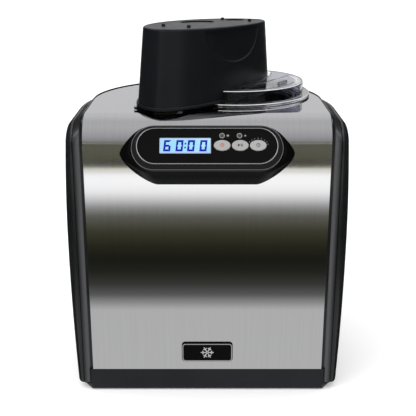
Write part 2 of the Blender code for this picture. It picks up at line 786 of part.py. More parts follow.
def head_outline(scale, grow=0.0, points=HEAD_POINTS):
    """The head's oval at a scale, grown outwards by a fixed amount."""
    outline = []
    for i in range(points):
        angle = 2.0 * math.pi * i / points
        across = HEAD_LEFT if math.sin(angle) > 0.0 else HEAD_RIGHT
        along = (HEAD_LONG * scale + grow) * math.cos(angle)
        side = (across * scale + grow) * math.sin(angle)
        outline.append(head_point(along, side))
    return outline


def head_point(along, side):
    """From the head's own axes, along its length and to its left, to the frame."""
    c, s = math.cos(HEAD_TURN), math.sin(HEAD_TURN)
    return (HEAD_X + along * c - side * s, HEAD_Y + along * s + side * c)


def in_head(point, scale, grow):
    c, s = math.cos(HEAD_TURN), math.sin(HEAD_TURN)
    dx, dy = point[0] - HEAD_X, point[1] - HEAD_Y
    along, side = dx * c + dy * s, -dx * s + dy * c
    across = HEAD_LEFT if side > 0.0 else HEAD_RIGHT
    return (along / (HEAD_LONG * scale + grow)) ** 2 + (side / (across * scale + grow)) ** 2 < 1.0


def ear_outline(radius, clear):
    """The part of a disc round the bowl's axis that lies free on the head's flat side."""
    facing = HEAD_TURN - math.pi / 2.0
    step = math.radians(7.5)
    halves = []
    for turn in (-1.0, 1.0):
        half = []
        angle = facing
        point = disc_point(radius, angle)
        while not in_head(point, HEAD_FLARE, clear):
            half.append(point)
            angle += turn * step
            point = disc_point(radius, angle)
        half.append(crossing(radius, angle - turn * step, angle, clear))
        halves.append(half)
    rim = list(reversed(halves[0][1:])) + halves[1]
    oval = head_outline(HEAD_FLARE, clear, points=64)
    wall = [point for point in reversed(oval[32:])
            if math.dist(point, (BOWL_X, BOWL_Y)) < radius - 1.0]
    return rim + wall


def crossing(radius, free, covered, clear):
    """Where the disc's rim meets the head's outline, between a free and a covered angle."""
    for _ in range(20):
        middle = (free + covered) / 2.0
        if in_head(disc_point(radius, middle), HEAD_FLARE, clear):
            covered = middle
        else:
            free = middle
    return disc_point(radius, free)


def disc_point(radius, angle):
    return (BOWL_X + radius * math.cos(angle), BOWL_Y + radius * math.sin(angle))


def flap_outline(grow=0.0):
    """A segment of a disc inside the ear's rim, closed by a straight edge along the hinge."""
    c, s = math.cos(HEAD_TURN), math.sin(HEAD_TURN)
    axis_side = -(BOWL_X - HEAD_X) * s + (BOWL_Y - HEAD_Y) * c
    radius = FLAP_R + grow
    facing = math.degrees(HEAD_TURN) - 90.0
    spread = math.degrees(math.acos((axis_side - flap_edge() - grow) / radius))
    return arc((BOWL_X, BOWL_Y), radius, facing - spread, facing + spread, 16)


def flap_edge():
    """How far the hinge line lies to the side of the head's axis."""
    return -(HEAD_RIGHT * HEAD_FLARE + FLAP_CLEAR)


def clear_lid(mat):
    """A flat flange over the well, with a raised clear ear beside the motor head."""
    pivot = (BOWL_X, BOWL_Y, LID_BOTTOM)
    top = LID_BOTTOM + LID_FLANGE
    plate = cylinder(LID_FLANGE_R, LID_BOTTOM, top, 56, (BOWL_X, BOWL_Y))
    lid = make_object("clear_lid", plate, mat, pivot)
    step = 0.2
    under_head = head_outline(HEAD_FLARE, HEAD_LIP + 1.0)
    boolean(lid, prism(under_head, LID_BOTTOM + step, top - step), "UNION")
    ear = ear_outline(LID_EAR_R, EAR_CLEAR)
    boolean(lid, prism(ear, LID_BOTTOM + step, LID_EAR_TOP), "UNION")
    room = ear_outline(LID_EAR_R - LID_WALL, EAR_CLEAR + LID_WALL)
    boolean(lid, prism(room, LID_BOTTOM - 2.0, LID_EAR_TOP - 2.0), "DIFFERENCE")
    boolean(lid, prism(flap_outline(grow=1.0), LID_EAR_TOP - 5.0, LID_EAR_TOP + 5.0), "DIFFERENCE")
    boolean(lid, cylinder(8.8, 280.0, 300.0, 24, (BOWL_X, BOWL_Y)), "DIFFERENCE")


def refill_flap(mat):
    """The hatch in the ear; it turns on its straight edge beside the head."""
    low = LID_EAR_TOP - 1.8
    pivot = flap_hinge()
    flap = make_object("refill_flap", prism(flap_outline(), low, LID_EAR_TOP), mat, pivot)
    grip = [head_point(35.0 + along, -63.0 + side)
            for along, side in ((-9.0, -1.5), (9.0, -1.5), (9.0, 1.5), (-9.0, 1.5))]
    boolean(flap, prism(grip, low + 0.5, LID_EAR_TOP + 2.5), "UNION")


def flap_hinge():
    """A point on the hinge line: the flap's edge nearest to the head, at its upper face."""
    x, y = head_point(20.0, flap_edge())
    return Vector((x, y, LID_EAR_TOP))


# ---------------------------------------------------------------- motor head

def scoop_depth(along, side, z):
    """How far the finger scoop sinks into the wall: deepest just under the top rim."""
    drop = HEAD_TOP - SCOOP_RIM - z
    if side > 0.0 or drop < 0.0:
        return 0.0
    reach = 1.0 - ((along - SCOOP_ALONG) / SCOOP_HALF) ** 2 - (drop / SCOOP_DROP) ** 2
    return SCOOP_DEPTH * max(0.0, reach) ** 0.5 if reach > 0.0 else 0.0


def raked(along, z):
    """The head's top slopes down to its rear end, so heights grow towards the front end."""
    share = (z - HEAD_BOTTOM) / (HEAD_TOP - HEAD_BOTTOM)
    return z + share * HEAD_RAKE * (HEAD_LONG - along)


def head_ring(z, scale, grow):
    ring = []
    for i in range(HEAD_POINTS):
        angle = 2.0 * math.pi * i / HEAD_POINTS
        across = HEAD_LEFT if math.sin(angle) > 0.0 else HEAD_RIGHT
        along = (HEAD_LONG * scale + grow) * math.cos(angle)
        side = (across * scale + grow) * math.sin(angle)
        side += scoop_depth(along, side, z)
        ring.append((*head_point(along, side), raked(along, z)))
    return ring


def head_scale(z):
    return 1.0 + (HEAD_FLARE - 1.0) * (HEAD_TOP - z) / (HEAD_TOP - HEAD_BOTTOM)


def head_housing(mat):
    lip_top = HEAD_BOTTOM + HEAD_LIP_HEIGHT
    outer = [head_ring(HEAD_BOTTOM, HEAD_FLARE, HEAD_LIP), head_ring(lip_top, HEAD_FLARE, HEAD_LIP)]
    scoop_top = HEAD_TOP - SCOOP_RIM
    for z in (lip_top, *HEAD_LEVELS, scoop_top, scoop_top + 0.2):
        outer.append(head_ring(z, head_scale(z), 0.0))
    outer.append(head_ring(HEAD_TOP - 1.0, 1.0, -0.7))
    outer.append(head_ring(HEAD_TOP, 1.0, -3.0))
    inner = [head_ring(z, head_scale(z), -HEAD_WALL)
             for z in (scoop_top - 0.1, *reversed(HEAD_LEVELS), HEAD_BOTTOM)]
    pivot = (HEAD_X, HEAD_Y, HEAD_BOTTOM)
    make_object("head_housing", shell_loft(outer, inner), mat, pivot)


def head_base(mat):
    """The plate that closes the head from below and carries the drive."""
    outline = head_outline(HEAD_FLARE, -HEAD_WALL - 2.0 * GAP)
    low = HEAD_BOTTOM + 0.1
    thick, hole_r = 2.6, 7.0
    plate = make_object("head_base", prism(outline, low, low + thick), mat, (HEAD_X, HEAD_Y, HEAD_BOTTOM))
    boolean(plate, cylinder(hole_r, low - 5.0, low + 8.0, 24, (BOWL_X, BOWL_Y)), "DIFFERENCE")


def gear_outline(teeth, centre, phase):
    """A plain spur gear: four points to a tooth."""
    pitch_r = GEAR_MODULE * teeth / 2.0
    tip_r = pitch_r + GEAR_MODULE * 0.85
    root_r = pitch_r - GEAR_MODULE * 1.15
    outline = []
    for i in range(teeth):
        for share, radius in ((-0.26, root_r), (-0.10, tip_r), (0.10, tip_r), (0.26, root_r)):
            angle = phase + 2.0 * math.pi * (i + share) / teeth
            outline.append((centre[0] + radius * math.cos(angle), centre[1] + radius * math.sin(angle)))
    return outline


def motor_axis():
    reach = GEAR_MODULE * (GEAR_TEETH + PINION_TEETH) / 2.0
    angle = HEAD_TURN + math.pi - math.radians(11.5)
    return (BOWL_X + reach * math.cos(angle), BOWL_Y + reach * math.sin(angle)), angle


def drive_train(mats):
    """Motor and pinion turn the big gear, whose spindle drops into the paddle's hub."""
    centre, angle = motor_axis()
    top = GEAR_Z + GEAR_THICK
    bore_r, edge = 2.4, 1.5
    motor_top = MOTOR_BOTTOM + MOTOR_HEIGHT
    motor = [(bore_r, MOTOR_BOTTOM + 12.0), (bore_r, MOTOR_BOTTOM), (MOTOR_R - edge, MOTOR_BOTTOM),
             (MOTOR_R, MOTOR_BOTTOM + edge), (MOTOR_R, motor_top - edge), (MOTOR_R - edge, motor_top)]
    rings = [[(x, y, z) for x, y in circle(radius, 24, centre)] for radius, z in motor]
    make_object("drive_motor", loft(rings), mats["motor"])
    pinion = prism(gear_outline(PINION_TEETH, centre, angle + math.pi + math.pi / PINION_TEETH),
                   GEAR_Z, top)
    pinion_obj = make_object("motor_pinion", pinion, mats["brass"], (*centre, GEAR_Z))
    boolean(pinion_obj, cylinder(2.0, GEAR_Z + 1.0, MOTOR_BOTTOM + 8.0, 12, centre), "UNION")
    pivot = (BOWL_X, BOWL_Y, GEAR_Z)
    gear = make_object("output_gear", prism(gear_outline(GEAR_TEETH, (BOWL_X, BOWL_Y), angle),
                                            GEAR_Z, top), mats["gear"], pivot)
    bore = cylinder(SPINDLE_R + GAP, GEAR_Z - 5.0, top + 5.0, 16, (BOWL_X, BOWL_Y))
    boolean(gear, bore, "DIFFERENCE")
    tip, head_r, head_top = 269.5, 6.0, top + 2.0
    spindle = [(0.0, tip), (SPINDLE_R - 0.4, tip), (SPINDLE_R, tip + 1.0), (SPINDLE_R, top + GAP),
               (head_r, top + GAP), (head_r, head_top), (0.0, head_top)]
    make_object("drive_spindle", lathe(spindle, 16, (BOWL_X, BOWL_Y)), mats["steel"], pivot)


def head_bumpers(mat):
    """Four small rubber stops, so that the head can be laid down on its top."""
    for index, (along, side) in enumerate(BUMPER_SPOTS, start=1):
        foot = raked(along, HEAD_TOP) + 0.15
        stop = cylinder(BUMPER_R, foot, foot + BUMPER_HEIGHT, 10, head_point(along, side))
        make_object(f"head_bumper_{index}", stop, mat)


# ---------------------------------------------------------------- cooling machinery

def compressor(mats):
    """Welded can on a bracket, with rubber mounts and a start relay."""
    centre = (COMPRESSOR_X, COMPRESSOR_Y)
    low, top, r = COMPRESSOR_FOOT, COMPRESSOR_TOP, COMPRESSOR_R
    seam_low, seam_high, seam_r = low + 52.0, low + 56.0, r + 2.0
    profile = [(r - 14.0, low), (r - 4.0, low + 5.0), (r, low + 16.0), (r, seam_low), (seam_r, seam_low),
               (seam_r, seam_high), (r, seam_high), (r, top - 18.0), (r - 7.0, top - 6.0),
               (r - 22.0, top)]
    make_object("compressor", lathe(profile, 28, centre), mats["enamel"])
    half_x, half_y = 50.0, 42.0
    plate = box((centre[0] - half_x, centre[1] - half_y, BRACKET_BOTTOM),
                (centre[0] + half_x, centre[1] + half_y, BRACKET_BOTTOM + 2.0))
    make_object("compressor_bracket", plate, mats["steel"])
    inset = 8.0
    spots = [(centre[0] + a * (half_x - inset), centre[1] + b * (half_y - inset))
             for a in (-1.0, 1.0) for b in (-1.0, 1.0)]
    for index, spot in enumerate(spots, start=1):
        grommet = cylinder(7.0, BASE_FLOOR + GAP, BRACKET_BOTTOM - GAP, 14, spot)
        make_object(f"compressor_grommet_{index}", grommet, mats["rubber"])
    relay_half, relay_low, relay_high = 14.0, 40.0, 74.0
    relay = box((centre[0] - relay_half, centre[1] - r - 24.0, relay_low),
                (centre[0] + relay_half, centre[1] - r - 3.0, relay_high))
    make_object("start_relay", relay, mats["black"])


def condenser(mat):
    """Finned block beside the left vents: upright fins on one header."""
    fins = 14
    fin = 3.0
    pitch = 7.8
    front = -80.0
    header, root, tip = -99.0, -102.0, -119.0
    outline = [(header, front)]
    for i in range(fins):
        y = front + pitch * i
        outline += [(tip, y), (tip, y + fin)]
        if i < fins - 1:
            outline += [(root, y + fin), (root, y + pitch)]
    outline.append((header, front + pitch * (fins - 1) + fin))
    make_object("condenser", prism(outline, BRACKET_BOTTOM, CONDENSER_TOP), mat)


def turned_to_x(bm, centre):
    """Stand a shape built about the upright axis on its side, its axis along X."""
    bmesh.ops.rotate(bm, cent=(0, 0, 0), matrix=Matrix.Rotation(math.radians(90.0), 3, "Y"), verts=bm.verts)
    bmesh.ops.translate(bm, vec=centre, verts=bm.verts)
    return bm


def fan(mats):
    """Shroud behind the condenser, the pitched rotor in its mouth, and the motor on a leg."""
    centre = FAN_CENTRE
    plate = box((-96.0, -80.0, BRACKET_BOTTOM), (-93.0, 25.0, CONDENSER_TOP))
    shroud = make_object("fan_shroud", plate, mats["black"])
    mouth = turned_to_x(cylinder(FAN_R + 3.0, -30.0, 30.0, 32), centre)
    boolean(shroud, mouth, "DIFFERENCE")
    rotor_hub = turned_to_x(cylinder(10.0, -6.0, 5.0, 16), centre)
    rotor = make_object("fan_rotor", rotor_hub, mats["white"], centre)
    for i in range(FAN_BLADES):
        blade = box((-9.0, 4.0, -0.9), (9.0, FAN_R, 0.9))
        pitch = Matrix.Rotation(math.radians(32.0), 3, "Y")
        bmesh.ops.rotate(blade, cent=(0, 0, 0), matrix=pitch, verts=blade.verts)
        bmesh.ops.rotate(blade, cent=(0, 0, 0), matrix=Matrix.Rotation(math.radians(90.0), 3, "Y"),
                         verts=blade.verts)
        spin = Matrix.Rotation(2.0 * math.pi * i / FAN_BLADES, 3, "X")
        bmesh.ops.rotate(blade, cent=(0, 0, 0), matrix=spin, verts=blade.verts)
        bmesh.ops.translate(blade, vec=centre, verts=blade.verts)
        boolean(rotor, blade, "UNION")
    motor_r, motor_front, motor_back = 15.0, 10.0, 34.0
    motor = turned_to_x(cylinder(motor_r, motor_front, motor_back, 20), centre)
    motor_obj = make_object("fan_motor", motor, mats["motor"])
    leg = box((centre.x + 14.0, centre.y - 10.0, BASE_FLOOR + GAP),
              (centre.x + 18.0, centre.y + 10.0, centre.z))
    boolean(motor_obj, leg, "UNION")


def refrigerant_parts(mats):
    """The drier and the line that leads from it over to the compressor."""
    neck_r, body_r = 3.0, 8.0
    drier = [(neck_r, 18.0), (body_r, 26.0), (body_r, 78.0), (neck_r, 86.0)]
    x, y = -55.0, 70.0
    make_object("filter_drier", lathe(drier, 14, (x, y)), mats["copper"])
    high = 129.0
    route = smooth_route([(x, y, 87.0), (x, y, 104.0), (-40.0, 66.0, 124.0), (-8.0, 60.0, high),
                          (20.0, 42.0, high), (40.0, 12.0, high),
                          (COMPRESSOR_X, COMPRESSOR_Y, COMPRESSOR_TOP + 1.5)], 5)
    tube("refrigerant_line", route, 2.5, mats["copper"], resolution=1)


def power_board(mats):
    """Circuit board with a transformer and a relay block."""
    board = make_object("power_board", box((-46.0, -96.0, 20.0), (54.0, -94.0, 96.0)), mats["circuit"])
    boolean(board, box((-36.0, -94.5, 30.0), (-6.0, -78.0, 58.0)), "UNION")
    boolean(board, box((14.0, -94.5, 60.0), (40.0, -84.0, 84.0)), "UNION")


# ---------------------------------------------------------------- whole machine

def build():
    clear_scene()
    mats = {
        "steel": material("brushed_steel", (0.62, 0.62, 0.61), 0.28, 1.0),
        "casing": material("casing_black", (0.018, 0.019, 0.021), 0.45),
        "gloss": material("gloss_black", (0.006, 0.006, 0.007), 0.08),
        "head": material("head_black", (0.014, 0.016, 0.018), 0.38),
        "rubber": material("rubber_black", (0.02, 0.02, 0.02), 0.8),
        "seal": material("seal_grey", (0.45, 0.45, 0.46), 0.6),
        "chrome": material("ring_chrome", (0.5, 0.5, 0.5), 0.15, 1.0),
        "clear": material("clear_plastic", (0.82, 0.84, 0.9), 0.05, 0.0, 0.35),
        "lcd": material("lcd_glow", (0.55, 0.8, 0.98), 0.3),
        "button": material("button_grey", (0.6, 0.6, 0.6), 0.35),
        "lamp": material("lamp_white", (0.75, 0.75, 0.7), 0.3),
        "circuit": material("circuit_green", (0.03, 0.16, 0.07), 0.5),
        "alloy": material("well_aluminium", (0.72, 0.73, 0.74), 0.35, 1.0),
        "copper": material("copper_tube", (0.72, 0.38, 0.22), 0.3, 1.0),
        "foam": material("foam_cream", (0.86, 0.8, 0.6), 0.9),
        "enamel": material("compressor_black", (0.03, 0.03, 0.03), 0.3),
        "black": material("inner_black", (0.03, 0.03, 0.03), 0.5),
        "white": material("paddle_white", (0.86, 0.86, 0.84), 0.4),
        "motor": material("motor_steel", (0.5, 0.5, 0.5), 0.35, 1.0),
        "brass": material("pinion_brass", (0.75, 0.55, 0.22), 0.3, 1.0),
        "gear": material("gear_nylon", (0.8, 0.79, 0.72), 0.45),
    }
    base_tray(mats["casing"])
    feet(mats["rubber"])
    steel_wrap(mats["steel"])
    side_panels(mats["casing"])
    rear_panel(mats["casing"])
    badge(mats["gloss"])
    power_inlet(mats["black"])
    control_bezel(mats["gloss"])
    bezel_ring(mats["chrome"])
    control_fascia(mats["gloss"])
    panel_fittings(mats)
    well_ring(mats["casing"])
    freezing_well(mats["alloy"])
    evaporator_coil(mats["copper"])
    foam_jacket(mats["foam"])
    removable_bowl(mats["alloy"])
    mixing_paddle(mats["white"])
    lid_seal(mats["seal"])
    clear_lid(mats["clear"])
    refill_flap(mats["clear"])
    head_housing(mats["head"])
    head_base(mats["head"])
    drive_train(mats)
    head_bumpers(mats["rubber"])
    compressor(mats)
    condenser(mats["alloy"])
    fan(mats)
    refrigerant_parts(mats)
    power_board(mats)


build()
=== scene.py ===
"""Looks of the frozen yogurt machine: fine meshes, materials, light and camera.

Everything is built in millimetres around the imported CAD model, and scaled to metres when a piece
is made. X is to the right, Y to the back, Z up.
"""
import math

import bmesh
import bpy
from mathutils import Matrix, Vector


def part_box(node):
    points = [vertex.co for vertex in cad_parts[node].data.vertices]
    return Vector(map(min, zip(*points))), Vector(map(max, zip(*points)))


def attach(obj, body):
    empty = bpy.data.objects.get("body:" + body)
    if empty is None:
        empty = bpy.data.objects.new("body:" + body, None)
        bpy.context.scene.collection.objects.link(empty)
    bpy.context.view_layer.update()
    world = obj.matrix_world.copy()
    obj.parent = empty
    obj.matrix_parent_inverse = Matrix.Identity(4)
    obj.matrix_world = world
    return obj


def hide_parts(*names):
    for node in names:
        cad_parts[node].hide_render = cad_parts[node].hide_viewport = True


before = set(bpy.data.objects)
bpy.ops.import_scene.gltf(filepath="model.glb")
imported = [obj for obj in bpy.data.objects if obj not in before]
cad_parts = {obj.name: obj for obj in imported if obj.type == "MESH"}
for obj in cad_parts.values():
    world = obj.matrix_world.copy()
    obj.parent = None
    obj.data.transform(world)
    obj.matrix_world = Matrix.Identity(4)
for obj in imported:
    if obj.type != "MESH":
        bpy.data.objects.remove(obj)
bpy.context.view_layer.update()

MM = 0.001
GAP = 0.3


def low(node):
    return Vector(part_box(node)[0]) / MM


def high(node):
    return Vector(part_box(node)[1]) / MM


def middle(node):
    return (low(node) + high(node)) / 2.0


# Casing, read from the frame
FRONT_Y = low("steel_wrap").y
STEEL_HALF = high("steel_wrap").x
STEEL_TOP = high("steel_wrap").z
STEEL_BOTTOM = low("steel_wrap").z
ARC_Y = high("steel_wrap").y - STEEL_HALF
WIDEST_HALF = high("side_panel_right").x
WIDEST_Z = 160.0
DRAWN_IN_AT_FOOT = 4.2
DRAWN_IN_AT_TOP = 2.0
UPPER_RUN = 80.0
BEND_R = 27.0
SHEET = 1.0
ROLL_DEPTH = 20.8
PANEL_WALL = 2.5
INNER_DEPTH = 5.4
RIB_START = 2.9
RIB_END = 9.0
RIB_DEPTH = 0.6
ROLL_START = 1.7
RIB_STRIPS = range(3, 12)
TOP_SLOPE = 0.65
RIM_RISE = 0.8
PANEL_BOTTOM = low("side_panel_left").z
SEAM_ANGLE = 38.0
STRIP_HALF = 5.0
STRIP_THICKNESS = 1.5
BASE_TOP = high("base_tray").z
BASE_BOTTOM = low("base_tray").z
BASE_HALF = high("base_tray").x
BASE_FRONT_HALF = 119.5
BASE_CHAMFER = 16.0

# Bowl, well and lid share one axis
BOWL_X = middle("freezing_well").x
BOWL_Y = middle("freezing_well").y
BOWL_AXIS = (BOWL_X, BOWL_Y)
WELL_HOLE_R = 70.0

# Motor head
HEAD_X = 6.0
HEAD_Y = -4.0
HEAD_TURN = math.radians(57.7)
HEAD_COS = math.cos(HEAD_TURN)
HEAD_SIN = math.sin(HEAD_TURN)
HEAD_LONG = 95.0
HEAD_LEFT = 54.0
HEAD_RIGHT = 31.0
HEAD_RAKE = 0.03
HEAD_TOP = high("head_housing").z - HEAD_RAKE * (2.0 * HEAD_LONG - 3.0)
HEAD_BOTTOM = low("head_housing").z
HEAD_FLARE = 1.095
HEAD_WALL = 2.5
FLAP_R = 64.4
FLAP_EDGE = -HEAD_RIGHT * HEAD_FLARE - 11.4

# Control panel: across, up the sloping face and out of it
PANEL_CENTRE = Vector((0.0, FRONT_Y - 8.5, 261.0))
PANEL_TILT = math.radians(58.8)
UP_AXIS = Vector((0.0, math.cos(PANEL_TILT), math.sin(PANEL_TILT)))
OUT_AXIS = Vector((0.0, -math.sin(PANEL_TILT), math.cos(PANEL_TILT)))
RING_HALF = 71.75
RING_HALF_HEIGHT = 22.2
GLASS_HALF = 65.0
GLASS_HALF_HEIGHT = 16.4
GLASS_RAISE = 2.0
FASCIA_FRONT = -1.2
LCD_CENTRE = (-20.5, 2.6)
LCD_SIZE = (48.0, 15.0)
BUTTONS = {"power_button": 14.0, "start_button": 30.8, "timer_button": 47.6}
BUTTON_UP = 2.6
BUTTON_HALF = (7.8, 5.2)
LAMPS = {"cooling_lamp": 13.9, "mixing_lamp": 30.2}
LAMP_UP = 12.2
LAMP_R = 1.9


# ---------------------------------------------------------------- node tools

def add_node(tree, kind, *sources):
    """A new node, its first inputs linked to the given outputs."""
    node = tree.nodes.new(kind)
    for place, source in enumerate(sources):
        tree.links.new(source, node.inputs[place])
    return node


def set_inputs(node, values):
    for name, value in values.items():
        node.inputs[name].default_value = value


def calculate(tree, operation, *sources):
    node = add_node(tree, "ShaderNodeMath", *sources)
    node.operation = operation
    return node.outputs[0]


def map_range(tree, source, start, end, lowest=0.0, highest=1.0):
    """Map the values from start to end onto those from lowest to highest."""
    node = add_node(tree, "ShaderNodeMapRange", source)
    set_inputs(node, {"From Min": start, "From Max": end, "To Min": lowest, "To Max": highest})
    return node.outputs[0]


def mix_colours(tree, share, first, second):
    """Mix two colours, each an (r, g, b) tuple or an output, by a share."""
    node = tree.nodes.new("ShaderNodeMix")
    node.data_type = "RGBA"
    tree.links.new(share, node.inputs["Factor"])
    for name, colour in (("A", first), ("B", second)):
        if isinstance(colour, tuple):
            node.inputs[name].default_value = (*colour, 1.0)
        else:
            tree.links.new(colour, node.inputs[name])
    return node.outputs["Result"]


def colour_ramp(tree, source, stops):
    """Colours along a value, from (position, colour) pairs."""
    node = add_node(tree, "ShaderNodeValToRGB", source)
    elements = node.color_ramp.elements
    while len(elements) > 1:
        elements.remove(elements[-1])
    elements[0].position = stops[0][0]
    elements[0].color = (*stops[0][1], 1.0)
    for position, colour in stops[1:]:
        elements.new(position).color = (*colour, 1.0)
    return node.outputs[0]


def split_axes(tree, source):
    return add_node(tree, "ShaderNodeSeparateXYZ", source).outputs


def shader_of(mat):
    return mat.node_tree.nodes["Principled BSDF"]


# ---------------------------------------------------------------- camera, light and stage

EYE_WHITE = (1.12, 1.12, 1.12)
SOFT_BOX = (0.95, 0.95, 0.97)
WALL_BEHIND = (0.60, 0.60, 0.615)
# The room in front as reflections see it, from straight below at 0 to straight above at 1.
ROOM_IN_FRONT = (
    (0.40, (0.060, 0.058, 0.042)), (0.475, (0.160, 0.150, 0.125)), (0.61, (0.31, 0.305, 0.305)),
    (0.74, (0.39, 0.385, 0.40)), (0.95, (0.49, 0.49, 0.50)))
# How far in front of the steel each band of the floor lies, in metres, its brightness and warmth.
FLOOR_BANDS = (
    (0.0, 0.54, 0.0), (0.19, 0.53, 0.0), (0.21, 0.33, 0.0), (0.235, 0.115, 0.0), (0.27, 0.044, 0.1),
    (0.315, 0.018, 0.2), (0.36, 0.013, 0.3), (0.41, 0.022, 0.4), (0.48, 0.050, 0.4), (0.555, 0.128, 0.15),
    (0.60, 0.32, 0.0), (0.645, 0.71, 0.0), (0.69, 1.06, 0.0), (0.745, 1.19, 0.0), (0.805, 1.19, 0.0),
    (0.825, 0.80, 0.0), (0.834, 0.74, 0.0), (0.838, 1.12, 0.2), (0.849, 1.12, 0.2), (0.854, 0.065, 0.15),
    (0.905, 0.053, 0.25), (0.93, 0.098, 0.35), (1.0, 0.118, 0.25))
# Soft boxes: where they stand and point, in metres, their size and their power.
KEY_LEFT = ((-1.2, -0.9, 1.6), (0.0, 0.0, 0.15), 1.2, 12.0)
SHOULDER_BOX = ((0.0, -0.25, 1.3), (0.0, 0.0, 0.28), 0.9, 18.0)
FLOOR_REACH = 6000.0
CARD_REACH = 2600.0
CARD_FAR = 5000.0
CARD_RISE = 0.8
FLAG_X = 360.0
FLAG_NEAR = 128.0
FLAG_FRONT = -300.0
FLAG_BACK = 1000.0
FLAG_TOP = 620.0
FLAG_TONES = ((0.0, (0.012, 0.012, 0.012)), (0.65, (0.02, 0.02, 0.02)), (0.80, (0.06, 0.06, 0.06)),
              (1.0, (0.25, 0.25, 0.26)))


def make_camera():
    camera = bpy.data.objects.new("camera", bpy.data.cameras.new("camera"))
    bpy.context.scene.collection.objects.link(camera)
    camera.location = (0.00076, -0.856, 0.448)
    camera.rotation_euler = (math.radians(71.6), 0.0, 0.0)
    camera.data.lens = 70.8
    camera.data.clip_start = 0.01
    bpy.context.scene.camera = camera
    bpy.context.scene.view_settings.view_transform = "Standard"


def soft_box_patch(tree, axes):
    """1 where a direction points at the soft boxes high on the left and the right."""
    sideways = calculate(tree, "ABSOLUTE", axes["X"])
    return calculate(tree, "MULTIPLY", map_range(tree, sideways, 0.28, 0.40),
                     map_range(tree, axes["Z"], 0.34, 0.50))


def make_world():
    """White for the eye and for soft light; reflections see a studio that is dim in front."""
    world = bpy.data.worlds.new("studio")
    world.use_nodes = True
    bpy.context.scene.world = world
    tree = world.node_tree
    axes = split_axes(tree, add_node(tree, "ShaderNodeTexCoord").outputs["Generated"])
    front = colour_ramp(tree, map_range(tree, axes["Z"], -1.0, 1.0), ROOM_IN_FRONT)
    studio = mix_colours(tree, map_range(tree, axes["Y"], 0.10, 0.60), front, WALL_BEHIND)
    lit = mix_colours(tree, soft_box_patch(tree, axes), studio, SOFT_BOX)
    glossy = add_node(tree, "ShaderNodeLightPath").outputs["Is Glossy Ray"]
    tree.links.new(mix_colours(tree, glossy, EYE_WHITE, lit), tree.nodes["Background"].inputs["Color"])


def level_corners(left, right, front, back, z):
    return [(x, y, z) for x, y in rectangle(left, right, front, back)]


def flat_sheet(name, corners, mat):
    mesh = bpy.data.meshes.new(name)
    mesh.from_pydata([Vector(corner) * MM for corner in corners], [], [(0, 1, 2, 3)])
    mesh.materials.append(mat)
    obj = bpy.data.objects.new(name, mesh)
    bpy.context.scene.collection.objects.link(obj)
    return obj


def make_floor():
    mat = new_material("floor_white", (0.97, 0.97, 0.97), 1.0, specular=0.0)
    set_inputs(shader_of(mat), {"Emission Color": (1.0, 1.0, 1.0, 1.0), "Emission Strength": 0.17})
    flat_sheet("floor", level_corners(-FLOOR_REACH, FLOOR_REACH, -FLOOR_REACH, FLOOR_REACH, 0.0), mat)


def card_material(name, start, length, stops):
    """Emission that changes along Y over a length from its start, both in metres."""
    mat = bpy.data.materials.new(name)
    mat.use_nodes = True
    tree = mat.node_tree
    tree.nodes.remove(shader_of(mat))
    axes = split_axes(tree, add_node(tree, "ShaderNodeTexCoord").outputs["Object"])
    colour = colour_ramp(tree, map_range(tree, axes["Y"], start, start + length), stops)
    glow = add_node(tree, "ShaderNodeEmission", colour)
    tree.links.new(glow.outputs[0], tree.nodes["Material Output"].inputs["Surface"])
    return mat


def reflection_card(name, corners, mat):
    """A stage card that only glossy surfaces see."""
    card = flat_sheet(name, corners, mat)
    card.visible_camera = False
    card.visible_diffuse = False
    card.visible_shadow = False
    card.visible_transmission = False


def make_floor_card():
    """The floor in front as the steel shows it: light, dark, bright, then a dim room."""
    stops = [(place, (bright, bright, bright * (1.0 - warmth))) for place, bright, warmth in FLOOR_BANDS]
    mat = card_material("floor_reflection", FRONT_Y * MM, -1.0, stops)
    corners = level_corners(-CARD_REACH, CARD_REACH, FRONT_Y - CARD_FAR, FRONT_Y - 4.0, CARD_RISE)
    reflection_card("floor_card", corners, mat)


def make_side_flags():
    """Dark flags beside the machine, which keep the edges of the black casing dark."""
    mat = card_material("flag_reflection", FLAG_FRONT * MM, (FLAG_BACK - FLAG_FRONT) * MM, FLAG_TONES)
    for side in (-1.0, 1.0):
        x = side * FLAG_X
        upright = [(x, y, z) for y, z in rectangle(FLAG_FRONT, FLAG_BACK, 0.0, FLAG_TOP)]
        reflection_card("side_flag", upright, mat)
        reflection_card("floor_flag", level_corners(side * FLAG_NEAR, x, FRONT_Y, FLAG_BACK, CARD_RISE), mat)


def make_key_light(name, place, target, size, power, only=None):
    """A soft box that lights by diffusion only, so that it leaves no patch in the steel.

    Given pieces to light, it shines on those alone and shows in their gloss as well.
    """
    data = bpy.data.lights.new(name, "AREA")
    data.size = size
    data.energy = power
    light = bpy.data.objects.new(name, data)
    bpy.context.scene.collection.objects.link(light)
    light.location = place
    light.rotation_euler = (Vector(target) - Vector(place)).to_track_quat("-Z", "Y").to_euler()
    light.visible_glossy = only is not None
    if only:
        lit = bpy.data.collections.new(name + "_receivers")
        for obj in only:
            lit.objects.link(obj)
        light.light_linking.receiver_collection = lit


# ---------------------------------------------------------------- materials

def new_material(name, colour, roughness, metallic=0.0, specular=0.5):
    mat = bpy.data.materials.new(name)
    mat.use_nodes = True
    set_inputs(shader_of(mat), {"Base Color": (*colour, 1.0), "Roughness": roughness,
                                "Metallic": metallic, "Specular IOR Level": specular})
    return mat


def feed(mat, name, source):
    """Let an output drive one input of the material's shader."""
    mat.node_tree.links.new(source, shader_of(mat).inputs[name])


